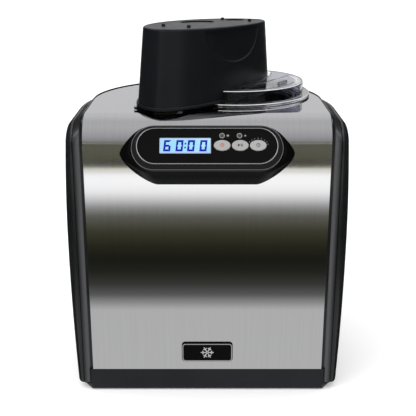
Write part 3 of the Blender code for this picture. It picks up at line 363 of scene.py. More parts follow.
def noise(mat, scale, stretch=(1.0, 1.0, 1.0), detail=2.0):
    """A noise field over the object's own coordinates, in features per metre."""
    tree = mat.node_tree
    place = add_node(tree, "ShaderNodeTexCoord").outputs["Object"]
    mapping = add_node(tree, "ShaderNodeMapping", place)
    set_inputs(mapping, {"Scale": stretch})
    field = add_node(tree, "ShaderNodeTexNoise", mapping.outputs[0])
    set_inputs(field, {"Scale": scale, "Detail": detail})
    return field.outputs["Fac"]


def spread(mat, field, lowest, highest, start=0.3, end=0.7):
    """Map a field to a range of values."""
    return map_range(mat.node_tree, field, start, end, lowest, highest)


def tint(mat, field, dark, light):
    """Let the base colour wander between two tones."""
    feed(mat, "Base Color", mix_colours(mat.node_tree, spread(mat, field, 0.0, 1.0), dark, light))


def roughen(mat, field, lowest, highest):
    feed(mat, "Roughness", spread(mat, field, lowest, highest))


def emboss(mat, field, strength, depth):
    """Bump of a depth in millimetres."""
    bump = mat.node_tree.nodes.new("ShaderNodeBump")
    set_inputs(bump, {"Strength": strength, "Distance": depth * MM})
    mat.node_tree.links.new(field, bump.inputs["Height"])
    feed(mat, "Normal", bump.outputs[0])


def plastic(name, dark, light, roughness, grain, specular=0.5, grain_scale=1600.0):
    """Moulded plastic: wandering tone and gloss, and a fine spark-eroded grain."""
    mat = new_material(name, light, roughness, specular=specular)
    cloud = noise(mat, 22.0, detail=4.0)
    tint(mat, cloud, dark, light)
    roughen(mat, noise(mat, 90.0, detail=3.0), roughness - 0.03, roughness + 0.05)
    if grain > 0.0:
        emboss(mat, noise(mat, grain_scale, detail=2.0), grain, 0.05)
    return mat


def rib_painted_sheen_material():
    """The casing's rib: satin black, with a painted sheen that makes it paler where it leans in towards the
    steel.
    """
    black, worn, pale = (0.006, 0.0065, 0.007), (0.008, 0.0085, 0.009), (0.085, 0.086, 0.092)
    mat = plastic("rib_black_painted_sheen", black, worn, 0.34, 0.0)
    tree = mat.node_tree
    place = add_node(tree, "ShaderNodeTexCoord")
    facing = split_axes(tree, place.outputs["Normal"])["X"]
    side = calculate(tree, "SIGN", split_axes(tree, place.outputs["Object"])["X"])
    outward = calculate(tree, "MULTIPLY", facing, side)
    # Painted sheen: the base colour turns pale where the rib's face leans in towards the steel, standing in
    # for a reflection.
    tint(mat, spread(mat, outward, 0.7, 0.3, -0.70, -0.05), black, pale)
    return mat


def brushed_metal(name, colour, roughness, stretch, anisotropic=0.0, line=0.35):
    """Metal with fine straight brush lines along the axes that the stretch leaves slow."""
    mat = new_material(name, colour, roughness, metallic=1.0)
    set_inputs(shader_of(mat), {"Anisotropic": anisotropic})
    fine = noise(mat, 1.0, stretch=stretch, detail=3.0)
    dark = tuple(value * 0.93 for value in colour)
    tint(mat, fine, dark, colour)
    roughen(mat, fine, roughness * 0.8, roughness * 1.3)
    emboss(mat, fine, line, 0.012)
    return mat


def turned_metal(name, colour, roughness):
    """Spun or drawn metal: faint rings up the axis and a patchy gloss."""
    mat = new_material(name, colour, roughness, metallic=1.0)
    rings = noise(mat, 1.0, stretch=(12.0, 12.0, 2400.0), detail=2.0)
    tint(mat, noise(mat, 35.0, detail=3.0), tuple(value * 0.9 for value in colour), colour)
    roughen(mat, rings, roughness - 0.04, roughness + 0.06)
    emboss(mat, rings, 0.25, 0.02)
    return mat


def clear_material(name, colour, roughness=0.03):
    mat = new_material(name, colour, roughness)
    set_inputs(shader_of(mat), {"Transmission Weight": 1.0, "IOR": 1.46})
    roughen(mat, noise(mat, 60.0, detail=3.0), roughness * 0.7, roughness * 1.5)
    return mat


def painted_highlight_edge_material():
    """The rounded rim of a clear moulding, painted pale and nearly opaque as a highlight line."""
    mat = new_material("clear_styrene_painted_highlight", (0.93, 0.93, 0.97), 0.20)
    set_inputs(shader_of(mat), {"Transmission Weight": 0.2})
    roughen(mat, noise(mat, 60.0, detail=3.0), 0.15, 0.28)
    return mat


def glow_material(name, dark, light, strength, scale=40.0):
    mat = new_material(name, light, 0.35, specular=0.08)
    tint(mat, noise(mat, scale, detail=1.0), dark, light)
    set_inputs(shader_of(mat), {"Emission Color": (*light, 1.0), "Emission Strength": strength})
    return mat


def steel_material():
    """Brushed steel whose highlight is drawn out across its brush lines."""
    mat = brushed_metal("brushed_steel", (0.80, 0.80, 0.81), 0.062, (2600.0, 9.0, 9.0), 0.75, 0.25)
    tangent = mat.node_tree.nodes.new("ShaderNodeTangent")
    tangent.direction_type = "UV_MAP"
    feed(mat, "Tangent", tangent.outputs[0])
    return mat


def make_materials():
    return {
        "steel": steel_material(),
        "casing": plastic("casing_black", (0.005, 0.0055, 0.006), (0.008, 0.0085, 0.009), 0.22, 0.10),
        "rib": rib_painted_sheen_material(),
        "base": plastic("base_black", (0.008, 0.0095, 0.0115), (0.011, 0.013, 0.016), 0.34, 0.16, 0.22),
        "head": plastic("head_black", (0.0040, 0.0050, 0.0065), (0.0055, 0.0070, 0.0090), 0.36, 0.16, 0.34),
        "gloss": plastic("gloss_black", (0.0020, 0.0020, 0.0020), (0.003, 0.003, 0.003), 0.07, 0.0, 0.04),
        "fascia": plastic("fascia_black", (0.0030, 0.0030, 0.0030), (0.004, 0.004, 0.004), 0.09, 0.0, 0.09),
        "rubber": plastic("rubber_black", (0.012, 0.012, 0.012), (0.020, 0.020, 0.020), 0.72, 0.5, 0.3),
        "seal": plastic("seal_grey", (0.30, 0.30, 0.30), (0.38, 0.38, 0.38), 0.55, 0.2),
        "dark_chrome": brushed_metal("dark_chrome", (0.034, 0.034, 0.033), 0.10, (60.0, 60.0, 60.0),
                                     line=0.03),
        "smoke_chrome": brushed_metal("smoke_chrome", (0.30, 0.30, 0.30), 0.16, (60.0, 60.0, 60.0),
                                      line=0.03),
        "chrome": brushed_metal("badge_chrome", (0.66, 0.66, 0.67), 0.20, (80.0, 80.0, 80.0), line=0.05),
        "clear": clear_material("clear_styrene", (0.955, 0.955, 0.963)),
        # Painted shade: a dark tint that the ear's front-facing wall takes.
        "clear_wall": clear_material("clear_styrene_painted_shade", (0.11, 0.115, 0.17)),
        # Painted highlight: the lid's rounded edges take a pale, nearly opaque material.
        "clear_edge": painted_highlight_edge_material(),
        "frosted": clear_material("frosted_styrene", (0.88, 0.88, 0.92), 0.5),
        "lcd": glow_material("lcd_glow", (0.10, 0.25, 0.40), (0.22, 0.40, 0.52), 0.95),
        "lcd_edge": glow_material("lcd_edge", (0.28, 0.32, 0.46), (0.34, 0.38, 0.52), 0.35),
        "digit": glow_material("lcd_digit", (0.003, 0.003, 0.14), (0.004, 0.004, 0.20), 0.85),
        "button": plastic("button_grey", (0.31, 0.305, 0.30), (0.37, 0.365, 0.36), 0.36, 0.12),
        "icon_red": plastic("icon_red", (0.42, 0.03, 0.03), (0.52, 0.05, 0.05), 0.45, 0.05),
        "icon_grey": plastic("icon_grey", (0.03, 0.03, 0.033), (0.04, 0.04, 0.043), 0.45, 0.05),
        "print": plastic("print_grey", (0.34, 0.34, 0.33), (0.44, 0.44, 0.43), 0.45, 0.05),
        "lamp": plastic("lamp_smoke", (0.05, 0.05, 0.045), (0.07, 0.07, 0.06), 0.12, 0.0),
        "circuit": plastic("circuit_green", (0.012, 0.085, 0.030), (0.018, 0.12, 0.045), 0.35, 0.15),
        "aluminium": turned_metal("well_aluminium", (0.74, 0.75, 0.76), 0.30),
        "copper": turned_metal("copper_tube", (0.72, 0.36, 0.20), 0.28),
        "foam": plastic("foam_cream", (0.62, 0.55, 0.36), (0.76, 0.69, 0.48), 0.85, 0.8, 0.2, 500.0),
        "compressor": plastic("compressor_black", (0.012, 0.012, 0.013), (0.022, 0.022, 0.023), 0.38, 0.4),
        "inner": plastic("inner_black", (0.014, 0.014, 0.015), (0.022, 0.022, 0.023), 0.50, 0.25),
        "paddle": plastic("paddle_white", (0.74, 0.74, 0.72), (0.82, 0.82, 0.80), 0.38, 0.10),
        "motor": turned_metal("motor_steel", (0.60, 0.60, 0.61), 0.34),
        "brass": turned_metal("pinion_brass", (0.72, 0.55, 0.24), 0.28),
        "nylon": plastic("gear_nylon", (0.70, 0.68, 0.60), (0.80, 0.78, 0.71), 0.42, 0.10),
    }


# ---------------------------------------------------------------- mesh tools

def add_object(name, bm, mat=None):
    """Turn a millimetre bmesh into an object in metres at the origin."""
    bmesh.ops.recalc_face_normals(bm, faces=bm.faces)
    bmesh.ops.scale(bm, vec=(MM, MM, MM), verts=bm.verts)
    mesh = bpy.data.meshes.new(name)
    bm.to_mesh(mesh)
    bm.free()
    obj = bpy.data.objects.new(name, mesh)
    bpy.context.scene.collection.objects.link(obj)
    if mat is not None:
        mesh.materials.append(mat)
    return obj


def bake(obj):
    """Replace the object's mesh by what its modifiers make of it."""
    bpy.context.view_layer.update()
    depsgraph = bpy.context.evaluated_depsgraph_get()
    mesh = bpy.data.meshes.new_from_object(obj.evaluated_get(depsgraph))
    obj.modifiers.clear()
    old = obj.data
    obj.data = mesh
    bpy.data.meshes.remove(old)


def combine(obj, bm, operation):
    cutter = add_object(obj.name + "_cutter", bm)
    modifier = obj.modifiers.new("cut", "BOOLEAN")
    modifier.object = cutter
    modifier.operation = operation
    modifier.solver = "EXACT"
    bake(obj)
    bpy.data.objects.remove(cutter, do_unlink=True)


def cut(obj, bm):
    combine(obj, bm, "DIFFERENCE")


def join(obj, bm):
    combine(obj, bm, "UNION")


def round_edges(obj, width, segments=3, angle=35.0):
    bevel = obj.modifiers.new("round", "BEVEL")
    bevel.width = width * MM
    bevel.segments = segments
    bevel.limit_method = "ANGLE"
    bevel.angle_limit = math.radians(angle)
    bevel.miter_outer = "MITER_ARC"
    bake(obj)


def rounded(bm, width):
    """The same millimetre bmesh with its sharp edges rounded."""
    obj = add_object("rounded", bm)
    round_edges(obj, width, 3, 40.0)
    result = bmesh.new()
    result.from_mesh(obj.data)
    bmesh.ops.remove_doubles(result, verts=result.verts, dist=0.00002)
    bmesh.ops.scale(result, vec=(1.0 / MM, 1.0 / MM, 1.0 / MM), verts=result.verts)
    bpy.data.objects.remove(obj)
    return result


def finish_piece(obj, body, replaced=(), smooth=50.0, weighted=True):
    """Shade the piece, hang it on its body and hide the CAD nodes that it stands for."""
    obj.data.shade_smooth()
    obj.data.set_sharp_from_angle(angle=math.radians(smooth))
    if weighted:
        normals = obj.modifiers.new("normals", "WEIGHTED_NORMAL")
        normals.keep_sharp = True
        bake(obj)
    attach(obj, body)
    if replaced:
        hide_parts(*replaced)
    return obj


def skin(bm, lower, upper):
    count = len(lower)
    for i in range(count):
        j = (i + 1) % count
        bm.faces.new((lower[i], lower[j], upper[j], upper[i]))


def vertex_loops(bm, rings):
    return [[bm.verts.new(point) for point in ring] for ring in rings]


def loft(rings):
    """A solid through a stack of equally long closed rings, capped at both ends."""
    bm = bmesh.new()
    loops = vertex_loops(bm, rings)
    for lower, upper in zip(loops, loops[1:]):
        skin(bm, lower, upper)
    bm.faces.new(list(reversed(loops[0])))
    bm.faces.new(loops[-1])
    return bm


def band(rings):
    """A closed band through rings that come back to the first one."""
    bm = bmesh.new()
    loops = vertex_loops(bm, rings)
    for lower, upper in zip(loops, loops[1:] + loops[:1]):
        skin(bm, lower, upper)
    return bm


def prism(outline, bottom, top):
    return loft([[(x, y, bottom) for x, y in outline], [(x, y, top) for x, y in outline]])


def rectangle(left, right, bottom, top):
    return [(left, bottom), (right, bottom), (right, top), (left, top)]


def across_x(outline, left, right):
    """A solid from an outline of (y, z) points, between two places along X."""
    return loft([[(x, y, z) for y, z in outline] for x in (left, right)])


def across_y(outline, front, back):
    """A solid from an outline of (x, z) points, between two places along Y."""
    return loft([[(x, y, z) for x, z in outline] for y in (front, back)])


def box(lowest, highest):
    return prism(rectangle(lowest[0], highest[0], lowest[1], highest[1]), lowest[2], highest[2])


def bar_outline(start, end, half_width):
    """Corners of a straight bar between two points."""
    across = Vector((start.y - end.y, end.x - start.x)).normalized() * half_width
    return [start - across, end - across, end + across, start + across]


def ellipse(half_a, half_b, points, centre=(0.0, 0.0)):
    step = 2.0 * math.pi / points
    return [(centre[0] + half_a * math.cos(step * i), centre[1] + half_b * math.sin(step * i))
            for i in range(points)]


def circle(radius, points, centre=(0.0, 0.0)):
    return ellipse(radius, radius, points, centre)


def arc(centre, radius, start, end, steps):
    return [(centre[0] + radius * math.cos(math.radians(start + (end - start) * i / steps)),
             centre[1] + radius * math.sin(math.radians(start + (end - start) * i / steps)))
            for i in range(steps + 1)]


def lathe(profile, points, centre):
    """Turn a profile of (radius, height) pairs and cap both ends."""
    return loft([[(x, y, z) for x, y in circle(radius, points, centre)] for radius, z in profile])


def bowl_disc(radius, bottom, top, points=96):
    """A disc on the bowl's axis."""
    return prism(circle(radius, points, BOWL_AXIS), bottom, top)


def ring_lathe(profile, points, centre):
    """Turn a closed profile that stays off the axis."""
    return band([[(x, y, z) for x, y in circle(radius, points, centre)] for radius, z in profile])


def stadium(half, half_height, points=10, centre=(0.0, 0.0), radius=None):
    """A rectangle with round ends, or with round corners of a smaller radius."""
    radius = min(half, half_height) if radius is None else radius
    outline = []
    for corner in range(4):
        sign_x = 1.0 if corner in (0, 3) else -1.0
        sign_y = 1.0 if corner in (0, 1) else -1.0
        for i in range(points + 1):
            angle = math.radians(90.0) * (corner + i / points)
            outline.append((centre[0] + sign_x * (half - radius) + radius * math.cos(angle),
                            centre[1] + sign_y * (half_height - radius) + radius * math.sin(angle)))
    return [point for k, point in enumerate(outline) if math.dist(point, outline[k - 1]) > 0.001]


def gather(parts):
    """Several separate bmeshes as one."""
    whole = bmesh.new()
    for part in parts:
        mesh = bpy.data.meshes.new("part")
        part.to_mesh(mesh)
        part.free()
        whole.from_mesh(mesh)
        bpy.data.meshes.remove(mesh)
    return whole


class DoubleSkin:
    """A wall between an outer and an inner skin, built from rows of (outer, inner) points."""

    def __init__(self):
        self.bm = bmesh.new()
        self.pairs = {}
        self.inner_of = {}

    def pair(self, points):
        outer, inner = points
        key = tuple(round(value, 3) for value in outer)
        if key not in self.pairs:
            vertex = self.bm.verts.new(outer)
            self.inner_of[vertex] = self.bm.verts.new(inner)
            self.pairs[key] = vertex
        return self.pairs[key]

    def add_rows(self, rows, painted_sheen_strips=()):
        """Skin the rows; the listed strips take the second material, the rib's black with its painted sheen.
        """
        for lower, upper in zip(rows, rows[1:]):
            for i in range(len(lower) - 1):
                corners = [self.pair(p) for p in (lower[i], lower[i + 1], upper[i + 1], upper[i])]
                corners = [v for k, v in enumerate(corners) if v is not corners[k - 1]]
                if len(corners) > 2:
                    self.bm.faces.new(corners).material_index = int(i in painted_sheen_strips)

    def close(self):
        """Copy the outer faces to the inner skin and wall up the open edges."""
        open_edges = [edge for edge in self.bm.edges if edge.is_boundary]
        for face in self.bm.faces[:]:
            self.bm.faces.new([self.inner_of[v] for v in reversed(face.verts)])
        for edge in open_edges:
            a, b = edge.verts
            self.bm.faces.new((a, b, self.inner_of[b], self.inner_of[a]))
        return self.bm


# ---------------------------------------------------------------- casing

def half_width(z):
    """The casing bulges: it is widest at WIDEST_Z and draws in towards the foot and the top."""
    if z < WIDEST_Z:
        return WIDEST_HALF - DRAWN_IN_AT_FOOT * ((WIDEST_Z - z) / WIDEST_Z) ** 2
    return WIDEST_HALF - DRAWN_IN_AT_TOP * ((z - WIDEST_Z) / UPPER_RUN) ** 2


def plan_outline(front_half, half, chamfer, points=64):
    """A plan with a flat front, chamfered front corners and a round back."""
    outline = [(-front_half, FRONT_Y), (front_half, FRONT_Y)]
    if chamfer > 0.0:
        outline.append((half, FRONT_Y + chamfer))
    outline += arc((0.0, ARC_Y), half, 0.0, 180.0, points)
    if chamfer > 0.0:
        outline.append((-half, FRONT_Y + chamfer))
    return outline


def steel_profile():
    """Side view of the wrap: up the front, round the bend and back past the end of the top."""
    past_end = ARC_Y + STEEL_HALF + 2.0

    def run(inset):
        bend = arc((FRONT_Y + BEND_R, STEEL_TOP - BEND_R), BEND_R - inset, 180.0, 90.0, 32)
        return [(FRONT_Y + inset, STEEL_BOTTOM)] + bend + [(past_end, STEEL_TOP - inset)]

    return run(0.0) + list(reversed(run(SHEET)))


def brush_direction(obj):
    """Map across the sheet to U and along its length to V, so the brushing runs along it."""
    layer = obj.data.uv_layers.new(name="brushing")
    for loop in obj.data.loops:
        place = obj.data.vertices[loop.vertex_index].co
        layer.data[loop.index].uv = (place.x, place.y + place.z)


def make_steel_wrap(mats):
    wrap = add_object("steel_wrap_sheet", across_x(steel_profile(), -STEEL_HALF, STEEL_HALF), mats["steel"])
    plan = [(-STEEL_HALF, FRONT_Y - 5.0), (STEEL_HALF, FRONT_Y - 5.0)]
    plan += arc((0.0, ARC_Y), STEEL_HALF, 0.0, 180.0, 96)
    combine(wrap, prism(plan, 0.0, STEEL_TOP + 5.0), "INTERSECT")
    cut(wrap, bowl_disc(WELL_HOLE_R, STEEL_TOP - 20.0, STEEL_TOP + 5.0))
    cut(wrap, panel_prism(stadium(62.0, 13.0, 10), 0.0, -45.0))
    round_edges(wrap, 0.35, 2, 40.0)
    brush_direction(wrap)
    finish_piece(wrap, "root", ["steel_wrap"], 35.0)


def blend(first, second, share):
    return first + (second - first) * share


def shoulder_section(widest, fall):
    """Section of the black shoulder: (reach, depth) from beside the steel to the upright side.

    A groove beside the steel, a rib, a narrow crease, then the roll. The rib rises away from the
    steel on the front, where fall is 0. On the top, where fall is 1, a thin rim stands round the
    steel and the rib slopes down from it.
    """
    start = STEEL_HALF + GAP
    groove = ((0.0, 2.6, -RIM_RISE), (0.6, 3.0, -RIM_RISE), (2.2, 3.0, 1.8), (RIB_START, 2.8, 2.6))
    section = [(start + reach, blend(sunk, rim, fall)) for reach, sunk, rim in groove]
    rib_r = (RIB_END - RIB_START) / math.sin(math.radians(45.0))
    for i in range(1, 9):
        lean = math.radians(45.0 * (1.0 - i / 8.0))
        reach = RIB_END - rib_r * math.sin(lean)
        risen = RIB_DEPTH + rib_r * (1.0 - math.cos(lean))
        section.append((start + reach, blend(risen, RIB_DEPTH + reach * TOP_SLOPE, fall)))
    lowest = RIB_DEPTH + RIB_END * TOP_SLOPE
    section += [(start + RIB_END + 0.25, blend(RIB_DEPTH, lowest, fall) + 0.15),
                (start + RIB_END + 0.4, blend(2.6, lowest + 1.2, fall)),
                (start + RIB_END + 0.7, blend(2.8, lowest + 1.5, fall))]
    crease = start + RIB_END + 1.0
    roll_start = blend(ROLL_START, lowest + 0.7, fall)
    for i in range(13):
        turn = math.radians(90.0 * i / 12.0)
        section.append((crease + (widest - crease) * math.sin(turn) ** 0.9,
                        roll_start + (ROLL_DEPTH - roll_start) * (1.0 - math.cos(turn))))
    return section


def front_stations():
    """Stations up the front and round the bend: each gives a point for a reach and a depth."""
    stations = []
    straight = STEEL_TOP - BEND_R - PANEL_BOTTOM
    for i in range(19):
        z = PANEL_BOTTOM + straight * i / 18.0
        stations.append(lambda reach, depth, z=z: (reach, FRONT_Y + depth, z))
    bend_y, bend_z = FRONT_Y + BEND_R, STEEL_TOP - BEND_R
    for i in range(1, 12):
        angle = math.radians(90.0 * i / 12.0)
        stations.append(lambda reach, depth, a=angle: (
            reach, bend_y - (BEND_R - depth) * math.cos(a), bend_z + (BEND_R - depth) * math.sin(a)))
    return stations


def top_station(y):
    return lambda reach, depth: (reach, y, STEEL_TOP - depth)


def arc_station(degrees):
    angle = math.radians(degrees)
    return lambda reach, depth: (reach * math.cos(angle), ARC_Y + reach * math.sin(angle),
                                 STEEL_TOP - depth)


def inner_section(reach, widest, fall):
    """The plain inner roll behind a point of the shoulder at that reach."""
    start = STEEL_HALF + GAP
    share = (reach - start) / (widest - start)
    turned = blend(1.0 - math.sqrt(1.0 - share ** 2), share, fall)
    return (start + (widest - PANEL_WALL - start) * share,
            INNER_DEPTH + (ROLL_DEPTH - INNER_DEPTH) * turned)


def shoulder_row(station):
    """Outer and inner points across the shoulder; it falls away more and more up the bend."""
    widest = half_width(station(0.0, ROLL_DEPTH)[2])
    risen = (station(0.0, 0.0)[2] - STEEL_TOP + BEND_R) / BEND_R
    share = min(max(risen, 0.0), 1.0)
    fall = share * share * (3.0 - 2.0 * share)
    return [(station(reach, depth), station(*inner_section(reach, widest, fall)))
            for reach, depth in shoulder_section(widest, fall)]


def wall_pair(station, z):
    """Outer and inner point of the upright side at a height."""
    return tuple((*station(half_width(z) - inset, 0.0)[:2], z) for inset in (0.0, PANEL_WALL))


def side_levels():
    """Heights of the upright side, from the front stations' own depth points."""
    levels = [station(0.0, ROLL_DEPTH)[2] for station in front_stations()]
    return levels + [STEEL_TOP - ROLL_DEPTH]


def side_columns():
    columns = [top_station(FRONT_Y + BEND_R)]
    run = ARC_Y - FRONT_Y - BEND_R
    columns += [top_station(FRONT_Y + BEND_R + run * i / 6.0) for i in range(1, 7)]
    seam = SEAM_ANGLE - 0.12
    columns += [arc_station(seam * i / 12.0) for i in range(1, 13)]
    return columns


def side_shell(side):
    """Wall of one side panel, from the front shoulder round to the rear seam."""
    shell = DoubleSkin()
    front = front_stations()
    columns = side_columns()
    shell.add_rows([shoulder_row(station) for station in front + columns], RIB_STRIPS)
    rows = []
    for index, z in enumerate(side_levels()):
        row = [wall_pair(station, z) for station in columns]
        if index < len(front):
            widest = half_width(z)
            row.insert(0, tuple(front[index](widest - inset, ROLL_DEPTH) for inset in (0.0, PANEL_WALL)))
        else:
            row.insert(0, row[0])
        rows.append(row)
    shell.add_rows(rows)
    bm = shell.close()
    bmesh.ops.scale(bm, vec=(side, 1.0, 1.0), verts=bm.verts)
    return bm


def rear_shell():
    start = SEAM_ANGLE + 0.12
    steps = 48
    columns = [arc_station(start + (180.0 - 2.0 * start) * i / steps) for i in range(steps + 1)]
    shell = DoubleSkin()
    shell.add_rows([shoulder_row(station) for station in columns], RIB_STRIPS)
    shell.add_rows([[wall_pair(station, z) for station in columns] for z in side_levels()])
    return shell.close()


def trimmed_shell(name, bm, mats):
    """Trim a panel round the base; its rib has a material of its own, with a painted sheen."""
    obj = add_object(name, bm, mats["casing"])
    # The second slot is the rib's black with a painted sheen.
    obj.data.materials.append(mats["rib"])
    grow = GAP
    trim = plan_outline(BASE_FRONT_HALF + grow, BASE_HALF + grow, BASE_CHAMFER - grow)
    cut(obj, prism(trim, -5.0, BASE_TOP + grow))
    return obj


def slot_stack(count, pitch, corner, size):
    """A stack of flat slots with round ends along X or Y as one cutter."""
    along, solid = (0, across_y) if size[0] > size[1] else (1, across_x)
    through = 1 - along
    slots = []
    for i in range(count):
        centre = (corner[along] + size[along] / 2.0, corner[2] + pitch * i + size[2] / 2.0)
        outline = stadium(size[along] / 2.0, size[2] / 2.0, 6, centre)
        slots.append(solid(outline, corner[through], corner[through] + size[through]))
    return gather(slots)


def make_side_panels(mats):
    panels = []
    slot_size = (20.0, 56.0, 4.0)
    for side, word, slot_x in ((-1, "left", -146.0), (1, "right", 126.0)):
        panel = trimmed_shell("side_shell_" + word, side_shell(side), mats)
        cut(panel, slot_stack(9, 10.0, (slot_x, -72.0, 40.0), slot_size))
        round_edges(panel, 0.5, 2, 55.0)
        panels.append(finish_piece(panel, "root", ["side_panel_" + word], 40.0))
    return panels


def make_seam_strips(mats):
    """Sealing strips inside the casing, behind the gaps beside the steel."""
    depth = INNER_DEPTH + GAP
    corners = rectangle(STEEL_HALF - STRIP_HALF, STEEL_HALF + STRIP_HALF, depth, depth + STRIP_THICKNESS)
    for side, word in ((-1.0, "left"), (1.0, "right")):
        rings = []
        for station in front_stations():
            ring = [station(*corner) for corner in corners]
            if BASE_TOP + GAP < ring[0][2] < STEEL_TOP - BEND_R:
                rings.append([(side * x, y, z) for x, y, z in ring])
        strip = add_object("seam_strip_" + word, loft(rings), mats["rubber"])
        round_edges(strip, 0.3, 2)
        finish_piece(strip, "root")


def upright_slab(node, shrink, front, back, corner, points):
    """A slab across Y with the outline of a node, drawn in, and with round corners."""
    centre = middle(node)
    half = high(node) - centre
    outline = stadium(half.x - shrink, half.z - shrink, points, (centre.x, centre.z), corner)
    return across_y(outline, front, back)


def make_rear_panel(mats):
    panel = trimmed_shell("rear_shell", rear_shell(), mats)
    cut(panel, slot_stack(8, 10.0, (-36.0, 112.0, 90.0), (72.0, 24.0, 4.0)))
    cut(panel, upright_slab("power_inlet", -0.6, 100.0, 135.0, 2.0, 4))
    round_edges(panel, 0.5, 2, 55.0)
    return finish_piece(panel, "root", ["rear_panel"], 40.0)


def make_base(mats):
    outer = plan_outline(BASE_FRONT_HALF, BASE_HALF, BASE_CHAMFER)
    wall = 3.0
    inner = plan_outline(BASE_FRONT_HALF - wall, BASE_HALF - wall, BASE_CHAMFER)
    inner = [(x, max(y, FRONT_Y + wall)) for x, y in inner]
    tray = add_object("base_shell", prism(outer, BASE_BOTTOM, BASE_TOP), mats["base"])
    cut(tray, prism(inner, BASE_BOTTOM + wall, BASE_TOP + 5.0))
    vents = [prism(stadium(22.0, 1.5, 4, (x, y)), 0.0, BASE_BOTTOM + wall + 2.0)
             for x in (-60.0, 30.0) for y in (-60.0, -52.0, -44.0, -36.0)]
    cut(tray, gather(vents))
    round_edges(tray, 0.9, 3, 30.0)
    finish_piece(tray, "root", ["base_tray"], 40.0)


def node_axis(node):
    """The place of a round node's upright axis, and the node's radius."""
    centre = middle(node)
    return (centre.x, centre.y), high(node).x - centre.x


def make_feet(mats):
    for index in range(1, 5):
        node = f"foot_{index}"
        axis, radius = node_axis(node)
        profile = [(radius * 0.72, 0.0), (radius * 0.93, 0.15), (radius, 0.5), (radius, high(node).z)]
        foot = add_object(f"rubber_{node}", lathe(profile, 40, axis), mats["rubber"])
        finish_piece(foot, "root", [node])


def make_badge(mats):
    """A blank black plate with a thin chrome frame and a plain snow crystal."""
    front, back = low("badge_plate").y, high("badge_plate").y
    frame_back = front + 0.45
    plate = upright_slab("badge_plate", 0.0, back, frame_back + 0.05, 3.5, 8)
    plate = add_object("badge_body", plate, mats["gloss"])
    round_edges(plate, 0.5, 3)
    finish_piece(plate, "root", ["badge_plate"])
    rim = add_object("badge_frame", upright_slab("badge_plate", 0.7, frame_back, front, 3.0, 8),
                     mats["chrome"])
    cut(rim, upright_slab("badge_plate", 1.6, front + 2.0, front - 2.0, 2.2, 8))
    round_edges(rim, 0.12, 2)
    finish_piece(rim, "root")
    arms = []
    for i in range(6):
        arms += crystal_arm(math.radians(60.0 * i), middle("badge_plate"), front)
    crystal = add_object("badge_crystal", gather(arms), mats["print"])
    finish_piece(crystal, "root", weighted=False)


def crystal_arm(angle, centre, front):
    """One arm of the snow crystal: a bar with a pair of short barbs, which lie a little lower."""
    half_width, barb_turn, barb_length, barb_place = 0.42, 55.0, 2.2, 3.6
    bars = []
    for start, end, turn, offset, depth in ((0.6, 6.6, 0.0, 0.0, 0.12),
                                            (0.0, barb_length, barb_turn, barb_place, 0.10),
                                            (0.0, barb_length, -barb_turn, barb_place, 0.10)):
        direction = angle + math.radians(turn)
        along = Vector((math.cos(direction), math.sin(direction)))
        foot = Vector((math.cos(angle), math.sin(angle))) * offset
        outline = bar_outline(foot + along * start, foot + along * end, half_width)
        outline = [(centre.x + corner.x, centre.z + corner.y) for corner in outline]
        bars.append(across_y(outline, front + 0.6, front + 0.3 - depth))
    return bars


def make_inlet(mats):
    """Mains inlet: a frame round a recessed socket with two pins."""
    mouth, inner_end = high("power_inlet").y, low("power_inlet").y
    floor = mouth - 20.6
    inlet = add_object("inlet_body", upright_slab("power_inlet", 0.0, inner_end, mouth, 2.0, 5),
                       mats["inner"])
    cut(inlet, upright_slab("power_inlet", 2.5, floor, mouth + 5.0, 1.5, 5))
    round_edges(inlet, 0.4, 2)
    finish_piece(inlet, "root", ["power_inlet"])
    pin_half, pin_half_height = 1.0, 2.5
    z = middle("power_inlet").z
    pins = [box((x - pin_half, floor - 0.4, z - pin_half_height),
                (x + pin_half, mouth - 4.0, z + pin_half_height)) for x in (-6.0, 6.0)]
    blades = add_object("inlet_pins", gather(pins), mats["motor"])
    round_edges(blades, 0.3, 2)
    finish_piece(blades, "root")


# ---------------------------------------------------------------- control panel

def panel_point(across, up, out):
    return PANEL_CENTRE + Vector((across, 0.0, 0.0)) + UP_AXIS * up + OUT_AXIS * out


def panel_prism(outline, front, back):
    return loft([[panel_point(a, b, out) for a, b in outline] for out in (front, back)])


def panel_loft(sections):
    """A solid through (outline, out) sections on the panel's face."""
    return loft([[panel_point(a, b, out) for a, b in outline] for outline, out in sections])


def glass_outline(grow=0.0, points=16):
    return stadium(GLASS_HALF + grow, GLASS_HALF_HEIGHT + grow, points, (0.0, GLASS_RAISE))


def ring_outline(grow=0.0, points=16):
    return stadium(RING_HALF + grow, RING_HALF_HEIGHT + grow, points)


# Sections of the skirt: half width, drop below the ring, reach of the ends, bluntness, place out.
SKIRT_FLARE = (
    (RING_HALF, 0.0, 22.2, 1.0, -2.3), (75.4, 0.5, 24.0, 1.05, -3.7), (78.5, 1.0, 27.0, 1.12, -6.0),
    (81.2, 1.8, 30.0, 1.22, -8.6), (83.0, 2.6, 33.0, 1.32, -11.0), (83.8, 4.6, 35.5, 1.42, -17.0),
    (84.0, 7.3, 37.0, 1.5, -34.0))


def skirt_outline(half, drop, reach, blunt, steps=40):
    """A section of the skirt: elliptic ends, which a blunt above 1 draws in below their middle."""
    half_height = RING_HALF_HEIGHT + drop / 2.0
    centre = -drop / 2.0
    outline = []
    for side in (1.0, -1.0):
        for i in range(steps + 1):
            angle = math.radians(180.0 * i / steps - 90.0)
            power = blunt if angle * side < 0.0 else 1.0
            across = side * (half - reach + reach * math.cos(angle) ** power)
            up = centre + half_height * side * math.copysign(abs(math.sin(angle)) ** power, angle)
            outline.append((across, up))
    return outline


